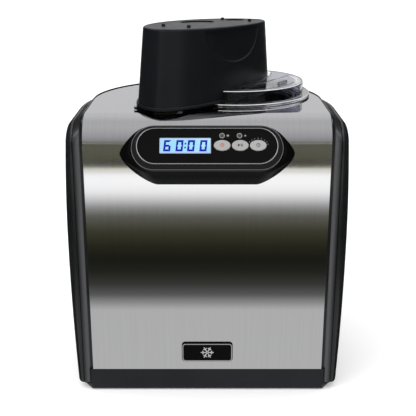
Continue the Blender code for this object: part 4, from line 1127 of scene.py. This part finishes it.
def make_bezel(mats):
    """Gloss skirt that flares from the ring down to the steel."""
    sections = [(skirt_outline(*section), out) for *section, out in SKIRT_FLARE]
    bezel = add_object("bezel_skirt", panel_loft(sections), mats["gloss"])
    below = 180.0
    solid = [(FRONT_Y - GAP, below)]
    solid += arc((FRONT_Y + BEND_R, STEEL_TOP - BEND_R), BEND_R + GAP, 180.0, 90.0, 24)
    solid += [(0.0, STEEL_TOP + GAP), (0.0, below)]
    cut(bezel, across_x(solid, -120.0, 120.0))
    cut(bezel, panel_prism(glass_outline(0.3), 5.0, -3.6))
    cut(bezel, panel_prism(stadium(60.0, 12.0, 10), 5.0, -50.0))
    round_edges(bezel, 0.3, 2, 40.0)
    finish_piece(bezel, "root", ["control_bezel"], 30.0)


def make_bezel_ring(mats):
    """Dark chrome ring, rounded outside, with a bright bead round the glass."""
    outside = ((0.0, -2.0), (0.0, -1.2), (-0.25, -0.5), (-0.9, -0.1), (-1.8, 0.05), (-3.0, -0.1))
    inside = ((2.4, -0.35), (1.6, -0.55), (1.6, -2.0))
    sections = [(ring_outline(grow), out) for grow, out in outside]
    sections += [(glass_outline(grow), out) for grow, out in inside]
    rings = [[panel_point(a, b, out) for a, b in outline] for outline, out in sections]
    ring = add_object("bezel_crown", band(rings), mats["dark_chrome"])
    finish_piece(ring, "root", ["bezel_ring"], 40.0)
    glass_bead = make_bead("bezel_bead", glass_outline, 0.9, 0.7, -0.75, mats["chrome"])
    finish_piece(glass_bead, "root", smooth=40.0)
    rim_bead = make_bead("bezel_rim_bead", ring_outline, -1.0, 0.45, -0.1, mats["smoke_chrome"])
    finish_piece(rim_bead, "root", smooth=40.0)


def make_bead(name, outline, grow, radius, out, mat):
    """A half round bead that follows an outline, with its flat back in the ring."""
    rings = []
    for degrees in range(0, 181, 20):
        angle = math.radians(degrees)
        rings.append([panel_point(a, b, out + radius * math.sin(angle))
                      for a, b in outline(grow + radius * math.cos(angle))])
    for side in (-radius, radius):
        rings.append([panel_point(a, b, out - 1.1) for a, b in outline(grow + side)])
    return add_object(name, band(rings), mat)


def make_fascia(mats):
    """The gloss panel with openings for the display, the buttons and the lamps."""
    fascia = add_object("fascia_glass", panel_prism(glass_outline(), FASCIA_FRONT, -3.2), mats["fascia"])
    outlines = [stadium(LCD_SIZE[0] / 2.0 + GAP, LCD_SIZE[1] / 2.0 + GAP, 4, LCD_CENTRE, radius=1.0)]
    for along in BUTTONS.values():
        outlines.append(ellipse(BUTTON_HALF[0] + GAP, BUTTON_HALF[1] + GAP, 48, (along, BUTTON_UP)))
    outlines += [circle(LAMP_R + GAP, 24, (along, LAMP_UP)) for along in LAMPS.values()]
    cut(fascia, gather([panel_prism(outline, 5.0, -9.0) for outline in outlines]))
    round_edges(fascia, 0.25, 3, 40.0)
    finish_piece(fascia, "root", ["control_fascia"], 30.0)


SEGMENTS = {"6": "acdefg", "0": "abcdef"}
DIGIT_WIDTH = 4.7
DIGIT_HEIGHT = 9.0
DIGIT_BAR = 1.9
DIGIT_LEAN = 0.10


def digit_bars(glyph, left, base):
    """Outlines of the lit bars of a seven segment digit, leaning a little to the right."""
    half, gap = DIGIT_BAR / 2.0, 0.05
    right, top, middle_y = left + DIGIT_WIDTH, base + DIGIT_HEIGHT, base + DIGIT_HEIGHT / 2.0

    def level_bar(y, out):
        return [(left - half + gap, y + out * half), (right + half - gap, y + out * half),
                (right - half - gap, y - out * half), (left + half + gap, y - out * half)]

    def upright_bar(x, out, end, up):
        return [(x + out * half, middle_y + up * gap), (x + out * half, end + up * (half - gap)),
                (x - out * half, end - up * (half + gap)), (x - out * half, middle_y + up * (half + gap)),
                (x, middle_y + up * gap)]

    bars = {
        "a": level_bar(top, 1.0), "d": level_bar(base, -1.0),
        "f": upright_bar(left, -1.0, top, 1.0), "b": upright_bar(right, 1.0, top, 1.0),
        "e": upright_bar(left, -1.0, base, -1.0), "c": upright_bar(right, 1.0, base, -1.0),
        "g": [(left + gap, middle_y), (left + half, middle_y - half), (right - half, middle_y - half),
              (right - gap, middle_y), (right - half, middle_y + half), (left + half, middle_y + half)]}
    return [[(x + (y - base) * DIGIT_LEAN, y) for x, y in bars[name]] for name in SEGMENTS[glyph]]


def make_display(mats):
    """Lit panel, its pale edge, and the dark digits of a running clock."""
    front = FASCIA_FRONT - 0.3
    half, half_height = LCD_SIZE[0] / 2.0, LCD_SIZE[1] / 2.0
    panel = add_object("lcd_panel", panel_prism(stadium(half, half_height, 4, LCD_CENTRE, radius=0.7),
                                                front, -6.4), mats["lcd_edge"])
    round_edges(panel, 0.25, 2)
    finish_piece(panel, "root", ["lcd_module"])
    glass = stadium(half - 0.9, half_height - 0.9, 4, LCD_CENTRE, radius=0.4)
    lit = add_object("lcd_window", panel_prism(glass, front + 0.12, front - 0.05), mats["lcd"])
    round_edges(lit, 0.05, 2)
    finish_piece(lit, "root")
    base = LCD_CENTRE[1] - DIGIT_HEIGHT / 2.0 - 0.2
    left = LCD_CENTRE[0] - 19.6
    outlines = []
    for glyph, offset in (("6", 0.0), ("0", 11.5), ("0", 22.3), ("0", 33.8)):
        outlines += digit_bars(glyph, left + offset, base)
    for rise in (0.3 * DIGIT_HEIGHT, 0.72 * DIGIT_HEIGHT):
        outlines.append(circle(0.85, 12, (left + 19.2 + rise * DIGIT_LEAN, base + rise)))
    parts = [panel_prism(outline, front + 0.20, front + 0.05) for outline in outlines]
    digits = add_object("lcd_digits", gather(parts), mats["digit"])
    finish_piece(digits, "root", weighted=False)


# Sections of a button's cap: how far its oval is drawn in, and its place out of the panel.
CAP_SECTIONS = ((0.0, -5.0), (0.0, -0.75), (0.12, -0.45), (0.45, -0.2), (1.0, -0.05), (1.5, -0.12),
                (2.1, -0.16), (3.0, 0.02), (4.2, 0.14))


def make_buttons(mats):
    for name, along in BUTTONS.items():
        sections = [(ellipse(BUTTON_HALF[0] - shrink, BUTTON_HALF[1] - shrink, 48, (along, BUTTON_UP)), out)
                    for shrink, out in CAP_SECTIONS]
        button = add_object(name + "_cap", panel_loft(sections), mats["button"])
        finish_piece(button, name, [name], 60.0)
    make_button_icons(mats)


def flat_ring(radius, width, centre, front, back):
    """A flat ring on the panel's face."""
    rings = []
    for shrink, out in ((0.0, back), (0.0, front), (width, front), (width, back)):
        rings.append([panel_point(a, b, out) for a, b in circle(radius - shrink, 40, centre)])
    return band(rings)


def finish_icon(name, button, parts, mat):
    icon = add_object(name, gather(parts), mat)
    finish_piece(icon, button, weighted=False)


def make_button_icons(mats):
    """Plain symbols on the caps: power, play and pause, and a clock."""
    front, back = 0.24, 0.0
    y = BUTTON_UP
    x = BUTTONS["power_button"]
    stroke = rectangle(x - 0.25, x + 0.25, y + 0.4, y + 2.3)
    parts = [flat_ring(1.7, 0.45, (x, y), front, back), panel_prism(stroke, front + 0.03, back)]
    finish_icon("power_icon", "power_button", parts, mats["icon_red"])
    x = BUTTONS["start_button"]
    parts = [panel_prism([(x - 2.2, y - 1.5), (x + 0.2, y), (x - 2.2, y + 1.5)], front, back)]
    for bar_x in (x + 1.0, x + 2.0):
        parts.append(panel_prism(rectangle(bar_x - 0.25, bar_x + 0.25, y - 1.4, y + 1.4), front, back))
    finish_icon("start_icon", "start_button", parts, mats["icon_grey"])
    x = BUTTONS["timer_button"]
    parts = [flat_ring(1.9, 0.4, (x, y), front, back)]
    for across, up, raised in ((0.2, 1.3, 0.004), (1.1, 0.2, 0.022)):
        hand = rectangle(x - 0.2, x + across, y - 0.2, y + up)
        parts.append(panel_prism(hand, front + raised, back))
    finish_icon("timer_icon", "timer_button", parts, mats["icon_grey"])


def make_lamps(mats):
    """Smoked lamp lenses in printed rings, each with a printed symbol beside it."""
    for name, along in LAMPS.items():
        centre = (along, LAMP_UP)
        sections = [(circle(LAMP_R - shrink, 32, centre), out)
                    for shrink, out in ((0.0, -3.2), (0.0, -1.1), (0.3, -0.9), (0.9, -0.78))]
        lens = add_object(name + "_lens", panel_loft(sections), mats["lamp"])
        finish_piece(lens, "root", [name], 60.0)
        ring = flat_ring(LAMP_R + 0.55, 0.4, centre, FASCIA_FRONT + 0.12, FASCIA_FRONT - 0.05)
        ring = add_object(name + "_ring", ring, mats["print"])
        finish_piece(ring, "root", weighted=False)
    make_print(mats)


def make_print(mats):
    """A six-armed star beside each lamp, and a dial of dots over the timer's button."""
    front, back = FASCIA_FRONT + 0.08, FASCIA_FRONT - 0.04
    marks = []
    for name, first_turn, half in (("cooling_lamp", 0.0, 1.3), ("mixing_lamp", 30.0, 0.9)):
        centre = Vector((LAMPS[name] + 5.4, LAMP_UP))
        for i in range(3):
            angle = math.radians(first_turn + 60.0 * i)
            along = Vector((math.cos(angle), math.sin(angle))) * half
            outline = bar_outline(centre - along, centre + along, 0.16)
            marks.append(panel_prism([tuple(corner) for corner in outline], front + 0.01 * i, back))
    dots, across, up = 9, 9.2, 6.9
    for i in range(dots):
        angle = math.radians(180.0 * (i + 0.5) / dots)
        centre = (BUTTONS["timer_button"] + across * math.cos(angle), BUTTON_UP + up * math.sin(angle))
        marks.append(panel_prism(circle(0.33, 8, centre), front, back))
    printed = add_object("fascia_print", gather(marks), mats["print"])
    finish_piece(printed, "root", weighted=False)


# ---------------------------------------------------------------- well, bowl and paddle

def make_well_ring(mats):
    """A collar with a flange that holds it under the steel."""
    outer, inner, lower_outer, edge = 69.7, 66.0, 69.5, 0.6
    flange_bottom, flange_top = 283.0, 285.5
    bottom, top = low("well_ring").z, high("well_ring").z
    flange = high("well_ring").x - BOWL_X
    profile = [(inner, bottom), (lower_outer, bottom), (lower_outer, flange_bottom),
               (flange, flange_bottom), (flange, flange_top), (outer, flange_top), (outer, top - edge),
               (outer - edge, top), (inner + edge, top), (inner, top - edge)]
    ring = add_object("well_collar", ring_lathe(profile, 96, BOWL_AXIS), mats["casing"])
    finish_piece(ring, "root", ["well_ring"], 40.0)


def cup(name, outside, cavity, mat):
    """A cup turned on the bowl's axis: a solid of one profile with another cut out of it."""
    obj = add_object(name, lathe(outside, 96, BOWL_AXIS), mat)
    cut(obj, lathe(cavity, 96, BOWL_AXIS))
    return obj


def make_well(mats):
    bottom, top = low("freezing_well").z, high("freezing_well").z
    flange, flange_bottom = high("freezing_well").x - BOWL_X, top - 1.5
    outer, inner = 66.5, 65.0
    outside = [(60.5, bottom), (outer, bottom + 5.0), (outer, flange_bottom), (flange, flange_bottom),
               (flange, top)]
    cavity = [(58.0, bottom + 1.5), (62.5, bottom + 2.6), (inner, bottom + 6.0), (inner, top - 0.8),
              (inner + 1.0, top + 1.0)]
    well = cup("well_liner", outside, cavity, mats["aluminium"])
    finish_piece(well, "root", ["freezing_well"], 35.0)


def make_bowl(mats):
    """The removable bowl: round bottom corner, rolled rim, and a pin for the paddle."""
    bottom, top = low("removable_bowl").z, high("removable_bowl").z
    outer, inner, rim, pin = 64.0, 62.8, 65.5, 3.0
    outside = [(57.0, bottom), (61.0, bottom + 0.8), (63.2, bottom + 3.0), (outer, bottom + 6.5),
               (outer, top - 1.8), (rim - 0.5, top - 1.6), (rim, top - 1.1), (rim, top - 0.4),
               (rim - 0.5, top)]
    cavity = [(57.0, bottom + 1.2), (60.6, bottom + 2.0), (62.2, bottom + 3.9), (inner, bottom + 6.8),
              (inner, top - 1.0), (63.4, top - 0.2), (63.8, top + 1.0)]
    bowl = cup("bowl_wall", outside, cavity, mats["aluminium"])
    pin_profile = [(pin, bottom + 0.6), (pin, bottom + 12.2), (pin - 0.8, bottom + 13.1)]
    join(bowl, lathe(pin_profile, 32, BOWL_AXIS))
    finish_piece(bowl, "bowl", ["removable_bowl"], 35.0)


def make_paddle(mats):
    """An open frame that scrapes the wall, stiffened by a rim and a waist bar, on its hub."""
    bottom, top = low("mixing_paddle").z, high("mixing_paddle").z
    reach = high("mixing_paddle").x - BOWL_X
    hub = [(7.0, bottom), (8.0, bottom + 1.0), (8.0, 281.0), (7.4, 283.0), (6.5, top)]
    paddle = add_object("paddle_frame", lathe(hub, 48, BOWL_AXIS), mats["paddle"])
    frame_top, half, lower, upper = 266.0, 2.5, 6.0, 14.0
    corners = [(-reach, bottom + lower), (-reach + lower, bottom + 0.5), (reach - lower, bottom + 0.5),
               (reach, bottom + lower), (reach, frame_top - upper), (reach - upper, frame_top),
               (-reach + upper, frame_top), (-reach, frame_top - upper)]
    frame_outline = [(BOWL_X + x, z) for x, z in corners]
    join(paddle, across_y(frame_outline, BOWL_Y - half, BOWL_Y + half))
    near, far = 13.0, reach - 8.0
    waist_bottom, waist_top = 204.0, 212.0
    windows = []
    for side in (-1.0, 1.0):
        for low_z, high_z in ((bottom + 12.0, waist_bottom), (waist_top, frame_top - 14.0)):
            centre = (BOWL_X + side * (near + far) / 2.0, (low_z + high_z) / 2.0)
            outline = stadium((far - near) / 2.0, (high_z - low_z) / 2.0, 6, centre, radius=9.0)
            windows.append(across_y(outline, BOWL_Y - 9.0, BOWL_Y + 9.0))
    cut(paddle, gather(windows))
    cut(paddle, bowl_disc(3.6, bottom - 5.0, bottom + 14.0, 32))
    cut(paddle, bowl_disc(4.3, 268.0, 290.0, 32))
    round_edges(paddle, 0.7, 3, 40.0)
    finish_piece(paddle, "paddle", ["mixing_paddle"], 40.0)


def make_seal(mats):
    """A soft ring with a groove round its inside."""
    bottom, top = low("lid_seal").z, high("lid_seal").z
    outer = high("lid_seal").x - BOWL_X
    inner = outer - 2.9
    profile = [(inner + 0.4, bottom), (outer - 0.4, bottom), (outer, bottom + 0.5), (outer, top - 0.4),
               (outer - 0.3, top), (inner + 0.3, top), (inner, top - 0.4), (inner + 0.5, bottom + 1.9),
               (inner, bottom + 0.6)]
    seal = add_object("seal_ring", ring_lathe(profile, 96, BOWL_AXIS), mats["seal"])
    finish_piece(seal, "lid_carrier", ["lid_seal"], 50.0)


# ---------------------------------------------------------------- clear lid

def head_point(along, side):
    """From the head's own axes, along its length and to its left, to the frame."""
    return (HEAD_X + along * HEAD_COS - side * HEAD_SIN, HEAD_Y + along * HEAD_SIN + side * HEAD_COS)


def on_head_axes(point):
    """The reverse of head_point: how far along the head and to its left a point lies."""
    dx, dy = point[0] - HEAD_X, point[1] - HEAD_Y
    return dx * HEAD_COS + dy * HEAD_SIN, -dx * HEAD_SIN + dy * HEAD_COS


def head_oval(scale, grow=0.0, points=160):
    """The head's plan on its own axes: two half ellipses, flatter towards the clear ear."""
    oval = []
    for i in range(points):
        angle = 2.0 * math.pi * i / points
        across = (HEAD_LEFT if math.sin(angle) > 0.0 else HEAD_RIGHT) * scale + grow
        oval.append(((HEAD_LONG * scale + grow) * math.cos(angle), across * math.sin(angle)))
    return oval


def head_outline(scale, grow=0.0):
    return [head_point(along, side) for along, side in head_oval(scale, grow)]


def in_head(point, scale, grow):
    along, side = on_head_axes(point)
    across = HEAD_LEFT if side > 0.0 else HEAD_RIGHT
    return (along / (HEAD_LONG * scale + grow)) ** 2 + (side / (across * scale + grow)) ** 2 < 1.0


def disc_point(radius, angle):
    return (BOWL_X + radius * math.cos(angle), BOWL_Y + radius * math.sin(angle))


def crossing(radius, free, covered, clear):
    """Where the disc's rim meets the head's outline, between a free and a covered angle."""
    for _ in range(20):
        halfway = (free + covered) / 2.0
        if in_head(disc_point(radius, halfway), HEAD_FLARE, clear):
            covered = halfway
        else:
            free = halfway
    return disc_point(radius, free)


def ear_outline(radius, clear):
    """The part of a disc round the bowl's axis that lies free on the head's flat side."""
    facing = HEAD_TURN - math.pi / 2.0
    step = math.radians(2.5)
    halves = []
    for turn in (-1.0, 1.0):
        half = []
        angle = facing
        point = disc_point(radius, angle)
        while not in_head(point, HEAD_FLARE, clear):
            half.append(point)
            angle += turn * step
            point = disc_point(radius, angle)
        half.append(crossing(radius, angle - turn * step, angle, clear))
        halves.append(half)
    rim = list(reversed(halves[0][1:])) + halves[1]
    oval = head_outline(HEAD_FLARE, clear)
    count = len(oval)
    wall = [point for point in reversed(oval[count // 2:])
            if math.dist(point, BOWL_AXIS) < radius - 1.0]
    outline = rim + wall
    return [point for i, point in enumerate(outline) if math.dist(point, outline[i - 1]) > 1.0]


def flap_outline(grow=0.0):
    """A segment of a disc inside the ear's rim, closed by a straight edge along the hinge."""
    axis_side = on_head_axes(BOWL_AXIS)[1]
    radius = FLAP_R + grow
    facing = math.degrees(HEAD_TURN) - 90.0
    spread_angle = math.degrees(math.acos((axis_side - FLAP_EDGE - grow) / radius))
    return arc(BOWL_AXIS, radius, facing - spread_angle, facing + spread_angle, 48)


def lid_painted_light_slot(face, flange_top):
    """Slot of a face of the lid: 0 clear, 1 the front wall of the ear, tinted dark as painted shade, 2 a
    rounded edge, painted pale as a highlight.
    """
    # Faces that slope up, the rounded edges, take the painted highlight; front-facing faces of the raised
    # ear take the painted shade.
    if 0.25 < face.normal.z < 0.97:
        return 2
    above = face.center.z > (flange_top + 0.5) * MM
    return int(above and face.normal.y < -0.35 and abs(face.normal.z) < 0.6)


def make_clear_lid(mats):
    """A flat flange over the well, with a raised clear ear beside the motor head."""
    bottom, top = low("clear_lid").z, high("clear_lid").z
    flange_r, flange_top = 80.0, bottom + 3.0
    ear_r, wall, clear = 73.0, 2.4, 2.4
    step, rim = 0.2, 0.7
    tab, boss = (-67.0, -66.0), head_point(-4.2, -40.6)
    lid = add_object("lid_shell", bowl_disc(flange_r, bottom, flange_top, 128), mats["clear"])
    round_edges(lid, rim, 3, 40.0)
    join(lid, prism(head_outline(HEAD_FLARE, 2.6), bottom + step, flange_top - step))
    join(lid, prism(circle(4.5, 24, tab), bottom + 2.0 * step, flange_top - 2.0 * step))
    join(lid, rounded(prism(ear_outline(ear_r, clear), bottom + step, top), rim))
    cut(lid, prism(ear_outline(ear_r - wall, clear + wall), bottom - 2.0, top - 2.0))
    cut(lid, prism(flap_outline(grow=1.0), top - 5.0, top + 5.0))
    cut(lid, bowl_disc(8.8, bottom - 5.0, bottom + 12.0, 48))
    join(lid, prism(circle(3.0, 24, boss), top - 1.0, top + 0.4))
    # Painted shade on the ear's front wall and a painted highlight on the rounded edges, in slots of their
    # own.
    lid.data.materials.append(mats["clear_wall"])
    lid.data.materials.append(mats["clear_edge"])
    for face in lid.data.polygons:
        face.material_index = lid_painted_light_slot(face, flange_top)
    finish_piece(lid, "lid", ["clear_lid"], 40.0)


def make_flap(mats):
    """The refill hatch, with its finger grip in a frosted finish."""
    bottom, top = low("refill_flap").z, high("clear_lid").z
    flap = add_object("flap_plate", prism(flap_outline(), bottom, top), mats["clear"])
    grip = [head_point(along, side) for along, side in stadium(9.0, 1.5, 5, (35.0, -63.0))]
    join(flap, prism(grip, bottom + 0.5, high("refill_flap").z))
    round_edges(flap, 0.4, 3, 40.0)
    flap.data.materials.append(mats["frosted"])
    for face in flap.data.polygons:
        face.material_index = int(face.center.z > (top + 0.2) * MM)
    finish_piece(flap, "flap", ["refill_flap"], 40.0)


# ---------------------------------------------------------------- motor head

def head_scale(z):
    return 1.0 + (HEAD_FLARE - 1.0) * (HEAD_TOP - z) / (HEAD_TOP - HEAD_BOTTOM)


def raked(along, z):
    """The head's top slopes down to its rear end, so heights grow towards the front end."""
    share = (z - HEAD_BOTTOM) / (HEAD_TOP - HEAD_BOTTOM)
    return z + share * HEAD_RAKE * (HEAD_LONG - along)


def raked_ring(outline, z):
    """A ring at a height of the head, from (along, side) points on the head's own axes."""
    return [(*head_point(along, side), raked(along, z)) for along, side in outline]


def head_section(z, grow, points=160):
    return raked_ring(head_oval(head_scale(z), grow, points), z)


def head_cavity():
    """Space inside the head, drawn in above where the finger scoop sinks into the wall."""
    return loft([head_section(z, grow) for z, grow in (
        (HEAD_BOTTOM - 1.0, -HEAD_WALL), (318.0, -HEAD_WALL), (326.0, -8.5), (351.0, -8.5),
        (352.0, -10.0))])


def scoop_cutter():
    """Half an ellipsoid under the rim on the flat side, for a finger to lift the head."""
    centre, half, drop, depth = -5.5, 49.5, 31.0, 5.0
    top = HEAD_TOP - 3.5
    outside = -HEAD_RIGHT - 20.0
    steps = 24
    rings = []
    for i in range(steps + 1):
        fall = math.sin(math.radians(88.0) * i / steps)
        z = top - drop * fall
        scale = head_scale(z)
        reach = half * math.sqrt(1.0 - fall ** 2)
        ring = [(centre + reach, outside), (centre - reach, outside)]
        for j in range(-steps, steps + 1):
            along = centre + reach * math.sin(math.radians(90.0 * j / steps))
            wall = -HEAD_RIGHT * scale * math.sqrt(1.0 - (along / (HEAD_LONG * scale)) ** 2)
            inside = max(0.0, 1.0 - ((along - centre) / half) ** 2 - fall ** 2)
            ring.append((along, wall + depth * inside ** 0.5 - 0.02))
        rings.append(raked_ring(ring, z))
    return loft(rings)


def make_head(mats):
    """Oval motor housing: foot lip, drafted wall, finger scoop, rounded rim, dished top."""
    lip, lip_top, wall_top = 1.6, HEAD_BOTTOM + 2.4, HEAD_TOP - 2.6
    sections = [(HEAD_BOTTOM, lip), (lip_top - 0.4, lip), (lip_top, lip - 0.4), (lip_top, 0.3),
                (lip_top + 0.5, 0.0)]
    steps, rim_r = 12, 2.0
    sections += [(lip_top + (wall_top - lip_top) * i / steps, 0.0) for i in range(1, steps + 1)]
    for degrees in (22.5, 45.0, 67.5, 90.0):
        angle = math.radians(degrees)
        sections.append((wall_top + rim_r * math.sin(angle), -rim_r * (1.0 - math.cos(angle))))
    sections += [(wall_top + rim_r, -4.4), (wall_top + 1.6, -5.0)]
    rings = [head_section(z, grow) for z, grow in sections]
    head = add_object("head_shell", loft(rings), mats["head"])
    cut(head, head_cavity())
    cut(head, scoop_cutter())
    for along, side, half_a, half_b in ((12.0, 27.0, 23.0, 15.0), (67.0, 14.0, 13.0, 10.0)):
        oval = ellipse(half_a, half_b, 64, (along, side))
        cut(head, loft([raked_ring(oval, wall_top + 0.4), raked_ring(oval, HEAD_TOP + 5.0)]))
    round_edges(head, 0.45, 2, 38.0)
    finish_piece(head, "head", ["head_housing"], 35.0)


def make_bumpers(mats):
    for index in range(1, 5):
        node = f"head_bumper_{index}"
        axis, radius = node_axis(node)
        bottom, top = low(node).z - 1.8, high(node).z + 0.3
        profile = [(radius, bottom), (radius, top - 1.0), (radius * 0.92, top - 0.5),
                   (radius * 0.7, top - 0.15), (radius * 0.35, top)]
        nub = add_object(f"top_nub_{index}", lathe(profile, 32, axis), mats["rubber"])
        finish_piece(nub, "head", [node], 60.0)


def make_head_base(mats):
    """The plate that closes the head from below, with a hole for the spindle and screw wells."""
    bottom, top = low("head_base").z, high("head_base").z
    plate = add_object("head_floor", prism(head_outline(HEAD_FLARE, -HEAD_WALL - 0.6), bottom, top),
                       mats["inner"])
    cut(plate, bowl_disc(7.0, bottom - 5.0, top + 5.0, 48))
    screws = ((-78.0, 6.0), (-20.0, 44.0), (60.0, 34.0), (86.0, -6.0), (-30.0, -24.0))
    cut(plate, gather([prism(circle(3.4, 24, head_point(*screw)), bottom - 2.0, bottom + 1.4)
                       for screw in screws]))
    round_edges(plate, 0.4, 2, 40.0)
    finish_piece(plate, "head", ["head_base"], 40.0)


def make_spindle(mats):
    """Drive spindle with a nose that two flats drive the paddle by."""
    bottom, top = low("drive_spindle").z, high("drive_spindle").z
    radius = high("drive_spindle").x - BOWL_X
    nose, body = radius * 0.82, radius * 0.97
    profile = [(nose * 0.8, bottom), (nose, bottom + 1.0), (nose, bottom + 1.6), (body, bottom + 2.2),
               (body, top - 0.8), (radius * 0.8, top)]
    spindle = add_object("spindle_shaft", lathe(profile, 48, BOWL_AXIS), mats["motor"])
    flat, outside, flat_top = radius * 0.78, radius * 2.0, bottom + 13.0
    for near, far in ((-outside, -flat), (flat, outside)):
        lowest = (BOWL_X - 8.0, BOWL_Y + near, bottom - 1.0)
        cut(spindle, box(lowest, (BOWL_X + 8.0, BOWL_Y + far, flat_top)))
    round_edges(spindle, 0.2, 2, 40.0)
    finish_piece(spindle, "spindle", ["drive_spindle"], 40.0)


# ---------------------------------------------------------------- carried-over CAD nodes

CARRIED = {
    "circuit": ("control_board", "power_board"),
    "copper": ("evaporator_coil", "filter_drier", "refrigerant_line"),
    "foam": ("foam_jacket",),
    "compressor": ("compressor",),
    "motor": ("compressor_bracket", "drive_motor", "fan_motor"),
    "rubber": tuple(f"compressor_grommet_{index}" for index in range(1, 5)),
    "inner": ("start_relay", "fan_shroud"),
    "aluminium": ("condenser",),
    "paddle": ("fan_rotor",),
    "brass": ("motor_pinion",),
    "nylon": ("output_gear",),
}


def paint_carried_nodes(mats):
    for key, nodes in CARRIED.items():
        for node in nodes:
            for material_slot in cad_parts[node].material_slots:
                material_slot.material = mats[key]


# ---------------------------------------------------------------- build

MAKERS = (make_seam_strips, make_base, make_feet, make_badge, make_inlet, make_bezel, make_bezel_ring,
          make_fascia, make_display, make_buttons, make_lamps, make_well_ring, make_well, make_bowl,
          make_paddle, make_seal, make_clear_lid, make_flap, make_head, make_bumpers, make_head_base,
          make_spindle, paint_carried_nodes)


def build():
    make_camera()
    make_world()
    make_floor()
    make_floor_card()
    make_side_flags()
    make_key_light("key_left", *KEY_LEFT)
    mats = make_materials()
    make_steel_wrap(mats)
    casing = [*make_side_panels(mats), make_rear_panel(mats)]
    make_key_light("shoulder_box", *SHOULDER_BOX, only=casing)
    for make in MAKERS:
        make(mats)


build()
